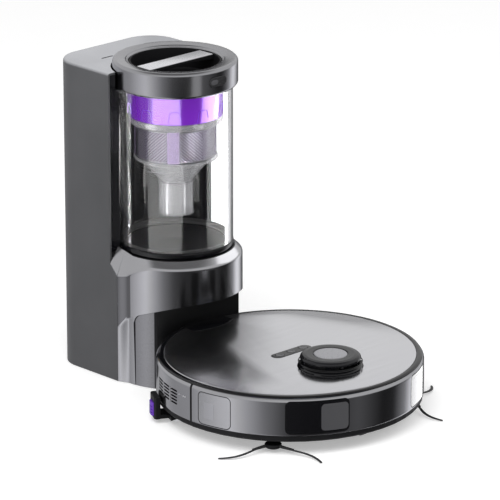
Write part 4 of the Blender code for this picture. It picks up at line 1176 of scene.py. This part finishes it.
def make_lights():
    """Two soft lamps for the whole object, and small ones that each gleam on a few pieces only."""
    soft_light("key", 205, 52, 2.6, (1.8, 1.8), 38, (0, 0, 0.2), mirrored=False)
    soft_light("fill", 300, 45, 3.0, (2.0, 2.0), 16, (0, 0, 0.2), mirrored=False)
    tower = CANISTER * MM + Vector((0, 0.08, 0.42))
    shelf = CANISTER * MM + Vector((0, 0, 0.18))
    lens = ROBOT * MM + Vector((0.08, -0.15, 0.05))
    top = soft_light("tower_top", 90, 88, 2.0, (0.5, 0.5), 300, tower, mirrored=False)
    linked(top, ["tower_skin"], ["lid_band"])
    rim = soft_light("shelf_rim", 350, 32, 1.0, (0.9, 0.6), 1.9, shelf)
    linked(rim, ["front_housing_skin"], ["top_plate"])
    side = soft_light("lens_right", 5, -18, 1.0, (0.7, 0.9), 7.5, lens)
    linked(side, ["sensor_lens_right", "sensor_window_right_pane"], ["top_plate"])
    cup = middle_of("canister_cup") * MM
    screen = ["screen_bars"] + [f"screen_rib_{index}" for index in range(1, 5)]
    for name, direction, width, power, shown in (
        ("cup_band", 205, 1.28, 34, ["cup_wall"]),
        ("cup_streak", 119, 0.14, 90, ["cup_wall"]),
        ("cup_right", 322, 1.1, 37, ["cup_wall"]),
        ("ring_band", 205, 1.28, 30, ["violet_ring"]),
        ("ring_right", 322, 1.1, 36, ["violet_ring"]),
        ("screen_band", 205, 1.28, 18, screen),
        ("screen_right", 302, 1.9, 90, screen),
        ("lid_patch", 265, 0.3, 0.35, ["lid_band"]),
        ("funnel_streak", 160, 0.3, 8, ["funnel_cone", "outlet_tube", "flange_rim"]),
        ("funnel_gleam", 290, 0.2, 5, ["funnel_cone", "outlet_tube", "flange_rim"]),
    ):
        linked(soft_light(name, direction, -18, 1.0, (width, 0.9), power, cup), shown, ["top_plate"])
    make_flag()


def make_flag():
    """Dark graded card behind the dock, seen only in reflections: it darkens the disc's left side."""
    away = bearing(CARD_ANGLE)
    across = Vector((away.y, -away.x, 0))
    base = ROBOT * MM + away * CARD_DISTANCE
    corners = []
    for u, z in ((-CARD_WIDTH, CARD_LOW), (0, CARD_LOW), (0, CARD_HIGH), (-CARD_WIDTH, CARD_HIGH)):
        corners.append(base + across * u + Vector((0, 0, z)))
    mesh = bpy.data.meshes.new("flag")
    mesh.from_pydata(corners, [], [(0, 1, 2, 3)])
    layer = mesh.uv_layers.new(name="across")
    for loop, value in zip(layer.data, ((0, 0), (1, 0), (1, 1), (0, 1))):
        loop.uv = value
    flag = new_object("flag", mesh)
    made, tree, shader = new_material("flag_cloth")
    tree.nodes.remove(shader)
    place = add_node(tree, "ShaderNodeUVMap")
    split = add_node(tree, "ShaderNodeSeparateXYZ", {"Vector": place.outputs["UV"]})
    fade = add_node(tree, "ShaderNodeMapRange", {
        "Value": split.outputs["X"], "From Min": 0.35, "From Max": 1.0}, interpolation_type="SMOOTHSTEP")
    dark = add_node(tree, "ShaderNodeEmission", {"Color": (0.012, 0.012, 0.015, 1.0)})
    clear = add_node(tree, "ShaderNodeBsdfTransparent")
    mixed_surface(tree, fade.outputs["Result"], dark.outputs["Emission"], clear.outputs["BSDF"])
    mesh.materials.append(made)
    flag.visible_camera = False
    flag.visible_diffuse = False
    flag.visible_shadow = False
    flag.visible_transmission = False


def make_camera():
    data = bpy.data.cameras.new("camera")
    data.sensor_width = 36.0
    data.lens = CAMERA_LENS
    data.shift_x, data.shift_y = CAMERA_SHIFT
    data.clip_end = 100.0
    camera = new_object("camera", data)
    turn = radians(CAMERA_TURN)
    lift = radians(CAMERA_LIFT)
    back = Vector((sin(turn) * cos(lift), -cos(turn) * cos(lift), sin(lift)))
    right = Vector((cos(turn), sin(turn), 0))
    axes = Matrix((right, back.cross(right), back)).transposed().to_4x4()
    camera.matrix_world = Matrix.Translation(CAMERA_AIM * MM + back * CAMERA_DISTANCE) @ axes
    bpy.context.scene.camera = camera


def keep_out_of_mirrors():
    """Broad bright pieces that would throw false patches on their shiny neighbours."""
    for name in ("top_plate", "rear_skin", "bumper_skin", "violet_ring"):
        bpy.data.objects[name].visible_glossy = False


make_floor()
make_world()
make_lights()
make_camera()
keep_out_of_mirrors()
bpy.context.scene.view_settings.view_transform = "Standard"
